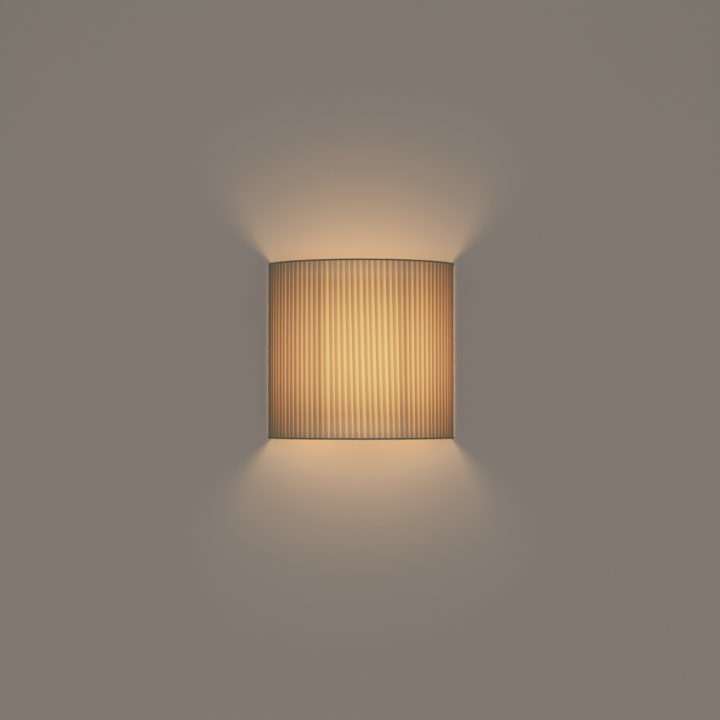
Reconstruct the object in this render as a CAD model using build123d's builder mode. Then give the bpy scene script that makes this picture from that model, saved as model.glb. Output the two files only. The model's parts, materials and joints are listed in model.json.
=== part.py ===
"""Fabric shade wall light.

A pleated fabric shade, curved in plan and open at the top and bottom, hangs by a bar on
two hooks of a wall unit that holds one screw-in bulb.

Millimetres. X is to the right as seen from the room, +Z is up and the wall is the plane
Y = 0, with the light on the -Y side. The origin is on the wall, midway between the two
fixing slots, which is also the middle of the shade's height.
"""

import math
import os

from build123d import *

os.makedirs("parts", exist_ok=True)

# ---- driving dimensions: shade --------------------------------------------------------
shade_width = 260.0  # across the pleats at the wall
shade_height = 245.0  # over both rim bindings
shade_depth = 96.0  # rear edges to the front of the pleats
wall_gap = 1.5  # rear edges of the shade to the wall
pleat_count = 43
cloth = 0.5  # one layer of cloth on its backing
pleat_rise = 0.9  # the fold of a pleat stands this far above the single layer
hem_cloth = 0.45
top_hem_height = 12.5
bottom_hem_height = 8.5
side_hem_width = 12.0
binding_cloth = 0.4
binding_height = 2.4

# ---- driving dimensions: shade frame --------------------------------------------------
frame_wire = 2.6  # diameter of rings, struts and rear rods
strut_angle = 26.0  # either side of the middle of the front
bar_wire = 3.2  # diameter of the hanger bar
bar_height = 70.0
bumper_width = 5.4
bumper_height = 12.0
bumper_low = -108.0
bumper_wrap = 1.0  # the bumper reaches this far past the rod's axis

# ---- driving dimensions: wall unit ----------------------------------------------------
plate_width = 70.0
plate_bottom = -112.0
plate_top = 84.0
plate_sheet = 2.0
plate_corner = 6.0
slot_spacing = 110.0
slot_length = 14.0
slot_width = 5.0
cable_hole_height = 25.0
arm_screw = 1.9  # radius of the shank, and so for the other screws
arm_head = 3.4
arm_screw_inset = 6.0  # upper screw below the top of the arm
arm_screw_pitch = 10.0
ear_screw = 1.4
ear_head = 2.6
fixing_screw = 1.4
fixing_head = 1.9
earth_screw = 1.9
earth_head = 3.5
head_height = 0.6  # height of a pan head as a share of its radius
driver_width = 0.3  # width and depth of its slot, likewise
cable_bore = 4.5  # radius inside the grommet
grommet_wall = 2.1
grommet_flange = 9.0
grommet_lip = 2.0

hook_offset = 24.0  # hooks either side of the middle
hook_width = 14.0
hook_sheet = 1.5
hook_lip = 8.0  # the lip stands this far above the seat
hook_foot = 18.0  # riveted leg below the seat
rivet_shank = 1.5
rivet_head = 2.6
rivet_dome = 1.0
rivet_inset = 5.0  # upper rivet below the hook's seat
rivet_pitch = 8.0

block_width = 32.0
block_height = 14.0
block_depth = 13.0
block_middle = 2.0  # height of the terminal block's middle
pole_pitch = 9.0
insert_radius = 1.9
insert_bore = 1.3
block_corner = 1.2
block_edge = 0.6
block_screw = 1.3  # radius of a terminal screw
clamp_share = 0.29  # each screw from the block's middle, as a share of its height
screw_sunk = 1.0  # a terminal screw ends this far below the block's face
screw_slot_width = 0.5
screw_slot_depth = 0.8
screw_bite = 0.5  # a terminal screw's tip stops this far short of the insert's axis

cover_width = 56.0
cover_bottom = -36.0
cover_top = 40.0
cover_depth = 22.0
cover_wall = 1.5
cover_ear = 6.0
ear_height = 12.0
ear_corner = 1.0
ear_lap = 1.0  # the ear runs this far into the cover's wall
cover_corner = 4.0
cover_edge = 1.8
notch_clearance = 0.9

arm_width = 36.0
arm_sheet = 2.0
arm_top = -76.0
shelf_top = -100.5
bulb_reach = 60.0  # bulb axis to the wall
shelf_nose = 18.0  # the shelf runs this far past the bulb axis
shelf_corner = 14.4
arm_corner = 4.0
bend_inside = 1.0  # inside radius of the arm's bend
wire_hole_clearance = 1.2

wire = 2.2  # diameter over the insulation
wire_low = -117.0  # the supply wires turn forward at this height
wire_pair_gap = 0.3  # between the two supply wires in the nipple
wire_spread = 7.0  # height over which they part to their terminals
supply_radii = [14.0, 8.0, 7.0, 7.0]
earth_screw_height = -28.0
earth_lead = 4.5  # straight run out of the terminal block
earth_tail = 3.5  # straight run into the tag
earth_radius = 5.0
tag_sheet = 0.8
tag_ring = 4.0
tag_barrel = 1.75
tag_barrel_length = 4.0
tag_root = 0.4  # the barrel is sunk this far into the tag's sheet
crimp_end = 0.5  # the wire stops this far above the barrel's foot

# ---- driving dimensions: lampholder and bulb ------------------------------------------
nipple_radius = 4.9
nipple_bore = 3.6
nipple_below = 8.0  # below the shelf's top
nipple_above = 4.5
nut_across = 15.0
nut_height = 3.0
washer_height = 1.0
holder_radius = 19.5
holder_wall = 2.0
holder_height = 54.0
cap_height = 24.5
boss_radius = 9.0
boss_height = 6.0
insert_height = 7.0
sleeve_inner = 13.9
sleeve_wall = 0.6
sleeve_length = 24.0
core_seat = 8.0  # the core stands this far below the cap's rim
core_wall_height = 12.0
cap_shell = 1.6
flare_height = 6.0
spigot_height = 6.0
rim_bead = 0.9
rim_bead_height = 3.0
terminal_offset = 6.5
terminal_size = (5.0, 8.0, 3.0)
terminal_set_forward = 1.5
holder_screw = 1.3
holder_screw_head = 2.0
holder_screw_forward = 3.5
holder_screw_height = 1.2
strip = 0.5  # sheet of the sprung contact
strip_width = 5.0
strip_inset = 3.0  # from the sleeve's wall
globe_radius = 22.5
globe_middle = -20.0
globe_wall = 1.2
cap_radius = 13.1
bulb_tip_height = -75.5
tip_height = 1.0
tip_radius = 3.2
tip_base = 4.6
insulator_height = 2.5
insulator_step = 3.4  # the insulator's top is this much narrower than the cap
cap_wall = 0.5
bulb_cap_length = 24.0
collar_top = -39.0
collar_radius = 12.0
collar_wall = 1.2
collar_plug = 3.0  # the collar reaches this far into the cap
board_sheet = 1.6
board_seat = 1.0  # the board's seat is this much narrower than the globe's mouth
led_count = 8
led_ring = 6.5
led_long = 2.6
led_wide = 2.0
led_height = 0.7
driver_board_width = 16.0
driver_board_foot = 6.0  # above the insulator
driver_block = 6.0
driver_block_foot = 10.0
driver_block_height = 9.0

# ---- clearances -----------------------------------------------------------------------
lay_gap = 0.05  # between layers of the shade that lie on each other
fit_gap = 0.1  # a screw, nipple or tube in its own hole
run_gap = 0.3  # between pieces that part or turn
bar_gap = 0.4  # hanger bar to the plate and to the hook's lip
screw_end = 0.2  # a screw's end stays this far off the wall

# ---- worked out from the above --------------------------------------------------------
shade_radius = (shade_width**2 / 4 + shade_depth**2) / (2 * shade_depth)
shade_half_angle = 2 * math.degrees(math.atan(2 * shade_depth / shade_width))
shade_centre_y = shade_radius - shade_depth - wall_gap
fold_radius = shade_radius - pleat_rise
cloth_inner = fold_radius - cloth
hem_outer = cloth_inner - 2 * lay_gap
hem_inner = hem_outer - hem_cloth
frame_radius = hem_inner - 2 * lay_gap - frame_wire / 2
rim_top = shade_height / 2
cloth_top = rim_top - binding_cloth - lay_gap
ring_height = cloth_top - frame_wire / 2
binding_outer = shade_radius + lay_gap + binding_cloth
binding_inner = frame_radius - frame_wire / 2 - lay_gap - binding_cloth

bar_y = -plate_sheet - bar_gap - bar_wire / 2
rod_x = math.sqrt(frame_radius**2 - (shade_centre_y - bar_y) ** 2)
rod_angle = math.degrees(math.asin(rod_x / frame_radius))
hook_seat = bar_height - bar_wire / 2 - run_gap
lip_y = bar_y - bar_wire / 2 - bar_gap

block_bottom = block_middle - block_height / 2
block_front = -plate_sheet - block_depth
wire_y = -plate_sheet - block_depth / 2
shelf_bottom = shelf_top - arm_sheet
insert_bottom = shelf_top + cap_height - core_seat
insert_top = insert_bottom + insert_height
holder_rim = shelf_top + holder_height
sleeve_outer = sleeve_inner + sleeve_wall


def shade_point(radius, angle):
    """A point of the plan, by its distance and angle about the shade's centre line."""
    turn = math.radians(angle)
    return (radius * math.sin(turn), shade_centre_y - radius * math.cos(turn))


def shade_band(inner, outer, start, end):
    """A curved strip of the plan between two radii and two angles, in the sketch."""
    with BuildLine() as strip_edge:
        CenterArc((0, shade_centre_y), inner, start - 90, end - start)
        CenterArc((0, shade_centre_y), outer, start - 90, end - start)
        Line(shade_point(inner, start), shade_point(outer, start))
        Line(shade_point(inner, end), shade_point(outer, end))
    make_face(strip_edge.edges())


def wall_cylinder(x, z, radius, near, far):
    """A cylinder square to the wall, from near to far in front of it."""
    with BuildSketch(Plane.XZ.offset(near)) as disc:
        with Locations((x, z)):
            Circle(radius)
    extrude(disc.sketch, amount=far - near)


def post(x, y, radius, low, high):
    """An upright cylinder between two heights."""
    with BuildSketch(Plane.XY.offset(low)) as disc:
        with Locations((x, y)):
            Circle(radius)
    extrude(disc.sketch, amount=high - low)


def pan_screw(x, z, seat, radius, head):
    """A slotted pan-head screw square to the wall, its head seated at the distance seat."""
    wall_cylinder(x, z, radius, screw_end, seat)
    wall_cylinder(x, z, head, seat, seat + head * head_height)
    with BuildSketch(Plane.XZ.offset(seat + head * (head_height - driver_width))) as driver_slot:
        with Locations((x, z)):
            Rectangle(3 * head, head * driver_width)
    extrude(driver_slot.sketch, amount=head, mode=Mode.SUBTRACT)


def save(builder, name):
    """Label one sub-part and write its file."""
    builder.part.label = name
    export_step(builder.part, f"parts/{name}.step")


# ======================================================================================
# Shade
# ======================================================================================

# Knife pleats: the cloth steps out at each fold and slopes back to a single layer.
pleat_turn = 2 * shade_half_angle / pleat_count
pleat_outline = []
for index in range(pleat_count):
    fold_angle = -shade_half_angle + index * pleat_turn
    pleat_outline.append(shade_point(shade_radius, fold_angle))
    pleat_outline.append(shade_point(fold_radius, fold_angle + pleat_turn))
for index in range(pleat_count, -1, -1):
    back_angle = -shade_half_angle + index * pleat_turn
    pleat_outline.append(shade_point(cloth_inner, back_angle))

with BuildPart() as shade_fabric:
    with BuildSketch(Plane.XY.offset(-cloth_top)):
        with BuildLine():
            Polyline(*pleat_outline, close=True)
        make_face()
    extrude(amount=2 * cloth_top)
save(shade_fabric, "shade_fabric")

# Cloth turned in behind the rims and along the rear edges.
with BuildPart() as top_hem:
    with BuildSketch(Plane.XY.offset(cloth_top - top_hem_height)):
        shade_band(hem_inner, hem_outer, -shade_half_angle, shade_half_angle)
    extrude(amount=top_hem_height)
save(top_hem, "top_hem")

with BuildPart() as bottom_hem:
    with BuildSketch(Plane.XY.offset(-cloth_top)):
        shade_band(hem_inner, hem_outer, -shade_half_angle, shade_half_angle)
    extrude(amount=bottom_hem_height)
save(bottom_hem, "bottom_hem")

side_hem_turn = math.degrees(side_hem_width / hem_outer)
side_hem_low = -cloth_top + bottom_hem_height + lay_gap
side_hem_high = cloth_top - top_hem_height - lay_gap
with BuildPart() as side_hems:
    with BuildSketch(Plane.XY.offset(side_hem_low)):
        shade_band(hem_inner, hem_outer, shade_half_angle - side_hem_turn, shade_half_angle)
        mirror(about=Plane.YZ)
    extrude(amount=side_hem_high - side_hem_low)
save(side_hems, "side_hems")


def rim_binding(height_sign):
    """Ribbon folded over a rim: an outer leg, the fold on top and an inner leg."""
    edge = height_sign * rim_top
    leg = height_sign * (rim_top - binding_height)
    fold = height_sign * (rim_top - binding_cloth)
    with BuildSketch(Plane.XY.offset(min(edge, leg))) as legs:
        shade_band(binding_outer - binding_cloth, binding_outer, -shade_half_angle, shade_half_angle)
        shade_band(binding_inner, binding_inner + binding_cloth, -shade_half_angle, shade_half_angle)
    extrude(legs.sketch, amount=binding_height)
    with BuildSketch(Plane.XY.offset(min(edge, fold))) as web:
        shade_band(binding_inner, binding_outer, -shade_half_angle, shade_half_angle)
    extrude(web.sketch, amount=binding_cloth)


with BuildPart() as top_binding:
    rim_binding(1)
save(top_binding, "top_binding")

with BuildPart() as bottom_binding:
    rim_binding(-1)
save(bottom_binding, "bottom_binding")

# Wire frame. The rear rods run the full height; everything else ends square against the
# side of its neighbour, where the real joints are spot welds.
ring_end_angle = rod_angle - math.degrees((frame_wire / 2 + lay_gap) / frame_radius)
strut_end = ring_height - frame_wire / 2 - 2 * lay_gap
with BuildPart() as rear_rods:
    for side in (-1, 1):
        post(side * rod_x, bar_y, frame_wire / 2, -cloth_top + lay_gap, cloth_top - lay_gap)
save(rear_rods, "rear_rods")


def frame_ring(height):
    """An open ring of wire from one rear rod round the front to the other."""
    with BuildLine(Plane.XY.offset(height)) as ring_path:
        CenterArc((0, shade_centre_y), frame_radius, -90 - ring_end_angle, 2 * ring_end_angle)
    with BuildSketch(ring_path.line ^ 0) as wire_end:
        Circle(frame_wire / 2)
    sweep(wire_end.sketch, path=ring_path.line)


with BuildPart() as top_ring:
    frame_ring(ring_height - lay_gap)
save(top_ring, "top_ring")

with BuildPart() as bottom_ring:
    frame_ring(-ring_height + lay_gap)
save(bottom_ring, "bottom_ring")

with BuildPart() as front_struts:
    for side in (-1, 1):
        strut_x, strut_y = shade_point(frame_radius, side * strut_angle)
        post(strut_x, strut_y, frame_wire / 2, -strut_end, strut_end)
save(front_struts, "front_struts")

bar_end = rod_x - frame_wire / 2 - lay_gap
with BuildPart() as hanger_bar:
    with BuildSketch(Plane.YZ.offset(-bar_end)):
        with Locations((bar_y, bar_height)):
            Circle(bar_wire / 2)
    extrude(amount=2 * bar_end)
save(hanger_bar, "hanger_bar")

# Rubber bumpers gripped on the rear rods keep the lower corners off the wall.
with BuildPart() as wall_bumpers:
    with BuildSketch(Plane.XY.offset(bumper_low)):
        for side in (-1, 1):
            with Locations((side * (rod_x + bumper_wrap), 0)):
                Rectangle(
                    bumper_width, -bar_y, align=(Align.MIN if side < 0 else Align.MAX, Align.MAX)
                )
            with Locations((side * rod_x, bar_y)):
                Circle(frame_wire / 2 + lay_gap, mode=Mode.SUBTRACT)
    extrude(amount=bumper_height)
save(wall_bumpers, "wall_bumpers")

# ======================================================================================
# Wall unit
# ======================================================================================

upper_rivet = hook_seat - hook_sheet - rivet_inset
rivet_heights = [upper_rivet, upper_rivet - rivet_pitch]
upper_arm_screw = arm_top - arm_screw_inset
arm_screw_heights = [upper_arm_screw, upper_arm_screw - arm_screw_pitch]
ear_middle = block_middle
ear_screw_x = cover_width / 2 + cover_ear / 2

with BuildPart() as wall_plate:
    with BuildSketch(Plane.XZ):
        with Locations((0, (plate_top + plate_bottom) / 2)):
            RectangleRounded(plate_width, plate_top - plate_bottom, plate_corner)
        with GridLocations(0, slot_spacing, 1, 2):
            SlotOverall(slot_length, slot_width, rotation=90, mode=Mode.SUBTRACT)
        with Locations((0, cable_hole_height)):
            Circle(cable_bore + grommet_wall + fit_gap, mode=Mode.SUBTRACT)
        for height in rivet_heights:
            with Locations((-hook_offset, height), (hook_offset, height)):
                Circle(rivet_shank + fit_gap, mode=Mode.SUBTRACT)
        for height in arm_screw_heights:
            with Locations((0, height)):
                Circle(arm_screw + fit_gap, mode=Mode.SUBTRACT)
        with Locations((-ear_screw_x, ear_middle), (ear_screw_x, ear_middle)):
            Circle(ear_screw + fit_gap, mode=Mode.SUBTRACT)
        with Locations((pole_pitch / 2, block_middle), (-pole_pitch / 2, block_middle)):
            Circle(fixing_screw + fit_gap, mode=Mode.SUBTRACT)
        with Locations((0, earth_screw_height)):
            Circle(earth_screw + fit_gap, mode=Mode.SUBTRACT)
    extrude(amount=plate_sheet)
save(wall_plate, "wall_plate")

with BuildPart() as cable_grommet:
    wall_cylinder(0, cable_hole_height, cable_bore + grommet_wall, 0, plate_sheet + grommet_lip)
    wall_cylinder(
        0, cable_hole_height, grommet_flange, plate_sheet, plate_sheet + grommet_lip
    )
    grommet_rim = cable_grommet.edges().group_by(Axis.Y)[0].sort_by(SortBy.RADIUS)[-1]
    fillet(grommet_rim, grommet_lip / 2)
    with BuildSketch(Plane.XZ):
        with Locations((0, cable_hole_height)):
            Circle(cable_bore)
    extrude(amount=plate_sheet + grommet_lip, mode=Mode.SUBTRACT)
save(cable_grommet, "cable_grommet")

# Bent strip: a riveted foot, a seat under the bar and a lip in front of it.
hook_outline = [
    (-plate_sheet, hook_seat),
    (lip_y, hook_seat),
    (lip_y, hook_seat + hook_lip),
    (lip_y - hook_sheet, hook_seat + hook_lip),
    (lip_y - hook_sheet, hook_seat - hook_sheet),
    (-plate_sheet - hook_sheet, hook_seat - hook_sheet),
    (-plate_sheet - hook_sheet, hook_seat - hook_foot),
    (-plate_sheet, hook_seat - hook_foot),
]
with BuildPart() as hanger_hooks:
    for side in (-1, 1):
        with BuildSketch(Plane.YZ.offset(side * hook_offset - hook_width / 2)):
            with BuildLine():
                Polyline(*hook_outline, close=True)
            make_face()
        extrude(amount=hook_width)
    lip_edges = hanger_hooks.edges().filter_by(Axis.Y).group_by(Axis.Z)[-1]
    fillet(lip_edges, hook_width / 5)
    bend_edges = (
        hanger_hooks.edges()
        .filter_by(Axis.X)
        .group_by(Axis.Y)[0]
        .group_by(Axis.Z)[0]
    )
    fillet(bend_edges, 0.9 * hook_sheet)
    for height in rivet_heights:
        for side in (-1, 1):
            with BuildSketch(Plane.XZ):
                with Locations((side * hook_offset, height)):
                    Circle(rivet_shank + fit_gap)
            extrude(amount=plate_sheet + hook_sheet, mode=Mode.SUBTRACT)
save(hanger_hooks, "hanger_hooks")

rivet_seat = plate_sheet + hook_sheet
with BuildPart() as hook_rivets:
    for height in rivet_heights:
        for side in (-1, 1):
            wall_cylinder(side * hook_offset, height, rivet_shank, 0, rivet_seat)
            wall_cylinder(
                side * hook_offset, height, rivet_head, rivet_seat, rivet_seat + rivet_dome
            )
    fillet(hook_rivets.edges().group_by(Axis.Y)[0], 0.8 * rivet_dome)
save(hook_rivets, "hook_rivets")

# Three-pole terminal block with brass inserts, clamped by screws from the front.
poles = [-pole_pitch, 0.0, pole_pitch]
clamp_heights = [block_middle + sign * clamp_share * block_height for sign in (-1, 1)]
with BuildPart() as terminal_block:
    with BuildSketch(Plane.XZ.offset(plate_sheet)):
        with Locations((0, block_middle)):
            Rectangle(block_width, block_height)
    extrude(amount=block_depth)
    fillet(terminal_block.edges().filter_by(Axis.Y), block_corner)
    chamfer(terminal_block.faces().sort_by(Axis.Y)[0].edges(), block_edge)
    with BuildSketch(Plane.XY.offset(block_bottom)):
        for pole in poles:
            with Locations((pole, wire_y)):
                Circle(insert_radius + fit_gap)
    extrude(amount=block_height, mode=Mode.SUBTRACT)
    with BuildSketch(Plane.XZ.offset(-wire_y)):
        for pole in poles:
            for height in clamp_heights:
                with Locations((pole, height)):
                    Circle(block_screw + 2 * fit_gap)
    extrude(amount=block_depth, mode=Mode.SUBTRACT)
    with BuildSketch(Plane.XZ.offset(plate_sheet)):
        with Locations((pole_pitch / 2, block_middle), (-pole_pitch / 2, block_middle)):
            Circle(fixing_screw + fit_gap)
    extrude(amount=block_depth, mode=Mode.SUBTRACT)
save(terminal_block, "terminal_block")

with BuildPart() as terminal_inserts:
    for pole in poles:
        post(pole, wire_y, insert_radius, block_bottom, block_bottom + block_height)
    with BuildSketch(Plane.XY.offset(block_bottom)):
        for pole in poles:
            with Locations((pole, wire_y)):
                Circle(insert_bore)
    extrude(amount=block_height, mode=Mode.SUBTRACT)
    with BuildSketch(Plane.XZ.offset(-wire_y)):
        for pole in poles:
            for height in clamp_heights:
                with Locations((pole, height)):
                    Circle(block_screw + fit_gap)
    extrude(amount=insert_radius * 2, mode=Mode.SUBTRACT)
save(terminal_inserts, "terminal_inserts")

screw_tip = -wire_y + screw_bite
screw_top = -block_front - screw_sunk
with BuildPart() as terminal_screws:
    for pole in poles:
        for height in clamp_heights:
            wall_cylinder(pole, height, block_screw, screw_tip, screw_top)
            with BuildSketch(Plane.XZ.offset(screw_top - screw_slot_depth)):
                with Locations((pole, height)):
                    Rectangle(3 * block_screw, screw_slot_width)
            extrude(amount=2 * screw_slot_depth, mode=Mode.SUBTRACT)
save(terminal_screws, "terminal_screws")

with BuildPart() as block_screws:
    for side in (-1, 1):
        pan_screw(side * pole_pitch / 2, block_middle, -block_front, fixing_screw, fixing_head)
save(block_screws, "block_screws")

# Earth: a ring tag under a screw, with the wire crimped in its barrel.
tag_barrel_low = earth_screw_height + tag_ring
tag_barrel_high = tag_barrel_low + tag_barrel_length
earth_y = -plate_sheet - tag_sheet - tag_barrel + tag_root
with BuildPart() as earth_tag:
    wall_cylinder(0, earth_screw_height, tag_ring, plate_sheet, plate_sheet + tag_sheet)
    with BuildSketch(Plane.XZ.offset(plate_sheet)):
        with Locations((0, (earth_screw_height + tag_barrel_high) / 2)):
            Rectangle(2 * tag_barrel, tag_barrel_high - earth_screw_height)
    extrude(amount=tag_sheet)
    post(0, earth_y, tag_barrel, tag_barrel_low, tag_barrel_high)
    with BuildSketch(Plane.XY.offset(tag_barrel_low)):
        with Locations((0, earth_y)):
            Circle(wire / 2 + fit_gap)
    extrude(amount=tag_barrel_high - tag_barrel_low, mode=Mode.SUBTRACT)
    with BuildSketch(Plane.XZ.offset(plate_sheet)):
        with Locations((0, earth_screw_height)):
            Circle(earth_screw + fit_gap)
    extrude(amount=tag_sheet, mode=Mode.SUBTRACT)
save(earth_tag, "earth_tag")

with BuildPart() as earth_screw_part:
    pan_screw(0, earth_screw_height, plate_sheet + tag_sheet, earth_screw, earth_head)
save(earth_screw_part, "earth_screw")


def routed_wire(points, radii):
    """A round wire of the common diameter along straight runs and tangent arcs."""
    with BuildLine() as route:
        FilletPolyline(*points, radius=radii)
    with BuildSketch(route.line ^ 0) as wire_end:
        Circle(wire / 2)
    sweep(wire_end.sketch, path=route.line)


earth_points = [
    (0, wire_y, block_bottom),
    (0, wire_y, block_bottom - earth_lead),
    (0, earth_y, tag_barrel_high + earth_tail),
    (0, earth_y, tag_barrel_low + crimp_end),
]
with BuildPart() as wire_earth:
    routed_wire(earth_points, [earth_radius, earth_radius])
save(wire_earth, "wire_earth")

# Terminal cover: an open-backed box with two screwed ears and two wire notches.
notch_half = wire / 2 + notch_clearance
with BuildPart() as terminal_cover:
    with BuildSketch(Plane.XZ.offset(plate_sheet)):
        with Locations((0, (cover_bottom + cover_top) / 2)):
            Rectangle(cover_width, cover_top - cover_bottom)
    extrude(amount=cover_depth)
    fillet(terminal_cover.edges().filter_by(Axis.Y), cover_corner)
    fillet(terminal_cover.faces().sort_by(Axis.Y)[0].edges(), cover_edge)
    offset(openings=terminal_cover.faces().sort_by(Axis.Y)[-1], amount=-cover_wall)
    with BuildSketch(Plane.XZ.offset(plate_sheet)):
        for side in (-1, 1):
            with Locations((side * (cover_width + cover_ear - ear_lap) / 2, ear_middle)):
                RectangleRounded(cover_ear + ear_lap, ear_height, ear_corner)
    extrude(amount=cover_wall)
    with BuildSketch(Plane.XZ.offset(plate_sheet)):
        with Locations((-ear_screw_x, ear_middle), (ear_screw_x, ear_middle)):
            Circle(ear_screw + fit_gap)
    extrude(amount=cover_wall, mode=Mode.SUBTRACT)
    with BuildSketch(Plane.XY.offset(cover_bottom - cover_wall)):
        for side in (-1, 1):
            with Locations((side * pole_pitch, wire_y)):
                Circle(notch_half)
            with Locations((side * pole_pitch, wire_y / 2)):
                Rectangle(2 * notch_half, -wire_y)
    extrude(amount=3 * cover_wall, mode=Mode.SUBTRACT)
save(terminal_cover, "terminal_cover")

with BuildPart() as cover_screws:
    for side in (-1, 1):
        pan_screw(side * ear_screw_x, ear_middle, plate_sheet + cover_wall, ear_screw, ear_head)
save(cover_screws, "cover_screws")

# Lampholder arm: an upright on the plate and a shelf that carries the lampholder.
shelf_end = -bulb_reach - shelf_nose
arm_outline = [
    (-plate_sheet, arm_top),
    (-plate_sheet, shelf_bottom),
    (shelf_end, shelf_bottom),
    (shelf_end, shelf_top),
    (-plate_sheet - arm_sheet, shelf_top),
    (-plate_sheet - arm_sheet, arm_top),
]
with BuildPart() as lampholder_arm:
    with BuildSketch(Plane.YZ.offset(-arm_width / 2)):
        with BuildLine():
            Polyline(*arm_outline, close=True)
        make_face()
    extrude(amount=arm_width)
    cross_edges = lampholder_arm.edges().filter_by(Axis.X)
    outer_bend = cross_edges.sort_by_distance((0, -plate_sheet, shelf_bottom))[0]
    inner_bend = cross_edges.sort_by_distance((0, -plate_sheet - arm_sheet, shelf_top))[0]
    fillet(inner_bend, bend_inside)
    fillet(outer_bend, arm_sheet + bend_inside)
    nose_edges = lampholder_arm.edges().filter_by(Axis.Z).group_by(Axis.Y)[0]
    fillet(nose_edges, shelf_corner)
    top_edges = lampholder_arm.edges().filter_by(Axis.Y).group_by(Axis.Z)[-1]
    fillet(top_edges, arm_corner)
    with BuildSketch(Plane.XY.offset(shelf_bottom)):
        with Locations((0, -bulb_reach)):
            Circle(nipple_radius + fit_gap)
        with Locations((-pole_pitch, wire_y), (pole_pitch, wire_y)):
            Circle(wire / 2 + wire_hole_clearance)
    extrude(amount=arm_sheet, mode=Mode.SUBTRACT)
    for height in arm_screw_heights:
        with BuildSketch(Plane.XZ.offset(plate_sheet)):
            with Locations((0, height)):
                Circle(arm_screw + fit_gap)
        extrude(amount=arm_sheet, mode=Mode.SUBTRACT)
save(lampholder_arm, "lampholder_arm")

with BuildPart() as arm_screws:
    for height in arm_screw_heights:
        pan_screw(0, height, plate_sheet + arm_sheet, arm_screw, arm_head)
save(arm_screws, "arm_screws")

# Supply wires: down in front of the plate, under the shelf and up the nipple.
wire_rise = shelf_top + nipple_above + wire_spread / 5
nipple_wire_x = (wire + wire_pair_gap) / 2
for name, side in (("wire_live", -1), ("wire_neutral", 1)):
    supply_points = [
        (side * pole_pitch, wire_y, block_bottom),
        (side * pole_pitch, wire_y, wire_low),
        (side * nipple_wire_x, -bulb_reach, wire_low),
        (side * nipple_wire_x, -bulb_reach, wire_rise),
        (side * terminal_offset, -bulb_reach, wire_rise + wire_spread),
        (side * terminal_offset, -bulb_reach, insert_bottom),
    ]
    with BuildPart() as supply_wire:
        routed_wire(supply_points, supply_radii)
    save(supply_wire, name)

# ======================================================================================
# Lampholder
# ======================================================================================


def turned(outline):
    """A solid of revolution about the bulb's axis from radius and height pairs."""
    with BuildSketch(Plane.XZ.offset(bulb_reach)) as half_section:
        with BuildLine():
            Polyline(*outline, close=True)
        make_face()
    revolve(half_section.sketch, axis=Axis((0, -bulb_reach, 0), (0, 0, 1)))


nipple_low = shelf_top - nipple_below
nipple_high = shelf_top + nipple_above
with BuildPart() as nipple:
    turned([
        (nipple_bore, nipple_low), (nipple_radius, nipple_low),
        (nipple_radius, nipple_high), (nipple_bore, nipple_high),
    ])
save(nipple, "nipple")

washer_low = shelf_bottom - washer_height
with BuildPart() as lock_washer:
    turned([
        (nipple_radius + fit_gap, washer_low), (nut_across / 2, washer_low),
        (nut_across / 2, shelf_bottom), (nipple_radius + fit_gap, shelf_bottom),
    ])
save(lock_washer, "lock_washer")

with BuildPart() as nipple_nut:
    with BuildSketch(Plane.XY.offset(washer_low - nut_height)):
        with Locations((0, -bulb_reach)):
            RegularPolygon(nut_across / 2, 6, major_radius=False)
            Circle(nipple_radius + fit_gap, mode=Mode.SUBTRACT)
    extrude(amount=nut_height)
save(nipple_nut, "nipple_nut")

# Moulded cap: a threaded boss that flares out to carry the skirt.
cap_top = shelf_top + cap_height
spigot_radius = holder_radius - holder_wall - fit_gap
flare_top = shelf_top + boss_height + flare_height
skirt_bottom = cap_top - spigot_height
cap_inner = spigot_radius - cap_shell
with BuildPart() as holder_cap:
    turned([
        (nipple_radius + fit_gap, shelf_top),
        (boss_radius, shelf_top),
        (boss_radius, shelf_top + boss_height - cap_shell / 2),
        (holder_radius, flare_top + cap_shell / 2),
        (holder_radius, skirt_bottom),
        (spigot_radius, skirt_bottom),
        (spigot_radius, insert_bottom),
        (cap_inner, insert_bottom),
        (cap_inner, flare_top),
        (nipple_radius + fit_gap, shelf_top + boss_height),
    ])
save(holder_cap, "holder_cap")

with BuildPart() as holder_skirt:
    turned([
        (holder_radius - holder_wall, skirt_bottom),
        (holder_radius, skirt_bottom),
        (holder_radius, holder_rim - rim_bead_height),
        (holder_radius + rim_bead, holder_rim - rim_bead_height + rim_bead / 2),
        (holder_radius + rim_bead, holder_rim - rim_bead / 2),
        (holder_radius + rim_bead / 2, holder_rim),
        (holder_radius - holder_wall, holder_rim),
    ])
save(holder_skirt, "holder_skirt")

# Porcelain core that carries the contacts and the threaded sleeve.
core_outer = holder_radius - holder_wall - 3 * fit_gap
core_wall_top = insert_top + core_wall_height
terminal_long, terminal_deep, terminal_high = terminal_size
contact_height = bulb_tip_height - run_gap
with BuildPart() as holder_core:
    turned([
        (0, insert_bottom), (core_outer, insert_bottom), (core_outer, core_wall_top),
        (sleeve_outer + fit_gap, core_wall_top), (sleeve_outer + fit_gap, insert_top),
        (0, insert_top),
    ])
    for side in (-1, 1):
        with BuildSketch(Plane.XY.offset(insert_bottom)):
            with Locations((side * terminal_offset, -bulb_reach - terminal_set_forward)):
                Rectangle(terminal_long + 2 * fit_gap, terminal_deep + 2 * fit_gap)
        extrude(amount=terminal_high + fit_gap, mode=Mode.SUBTRACT)
save(holder_core, "holder_core")

with BuildPart() as holder_terminals:
    for side in (-1, 1):
        with BuildSketch(Plane.XY.offset(insert_bottom)):
            with Locations((side * terminal_offset, -bulb_reach - terminal_set_forward)):
                Rectangle(terminal_long, terminal_deep)
        extrude(amount=terminal_high)
        with BuildSketch(Plane.XY.offset(insert_bottom)):
            with Locations((side * terminal_offset, -bulb_reach - holder_screw_forward)):
                Circle(holder_screw + fit_gap)
        extrude(amount=terminal_high, mode=Mode.SUBTRACT)
save(holder_terminals, "holder_terminals")

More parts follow.
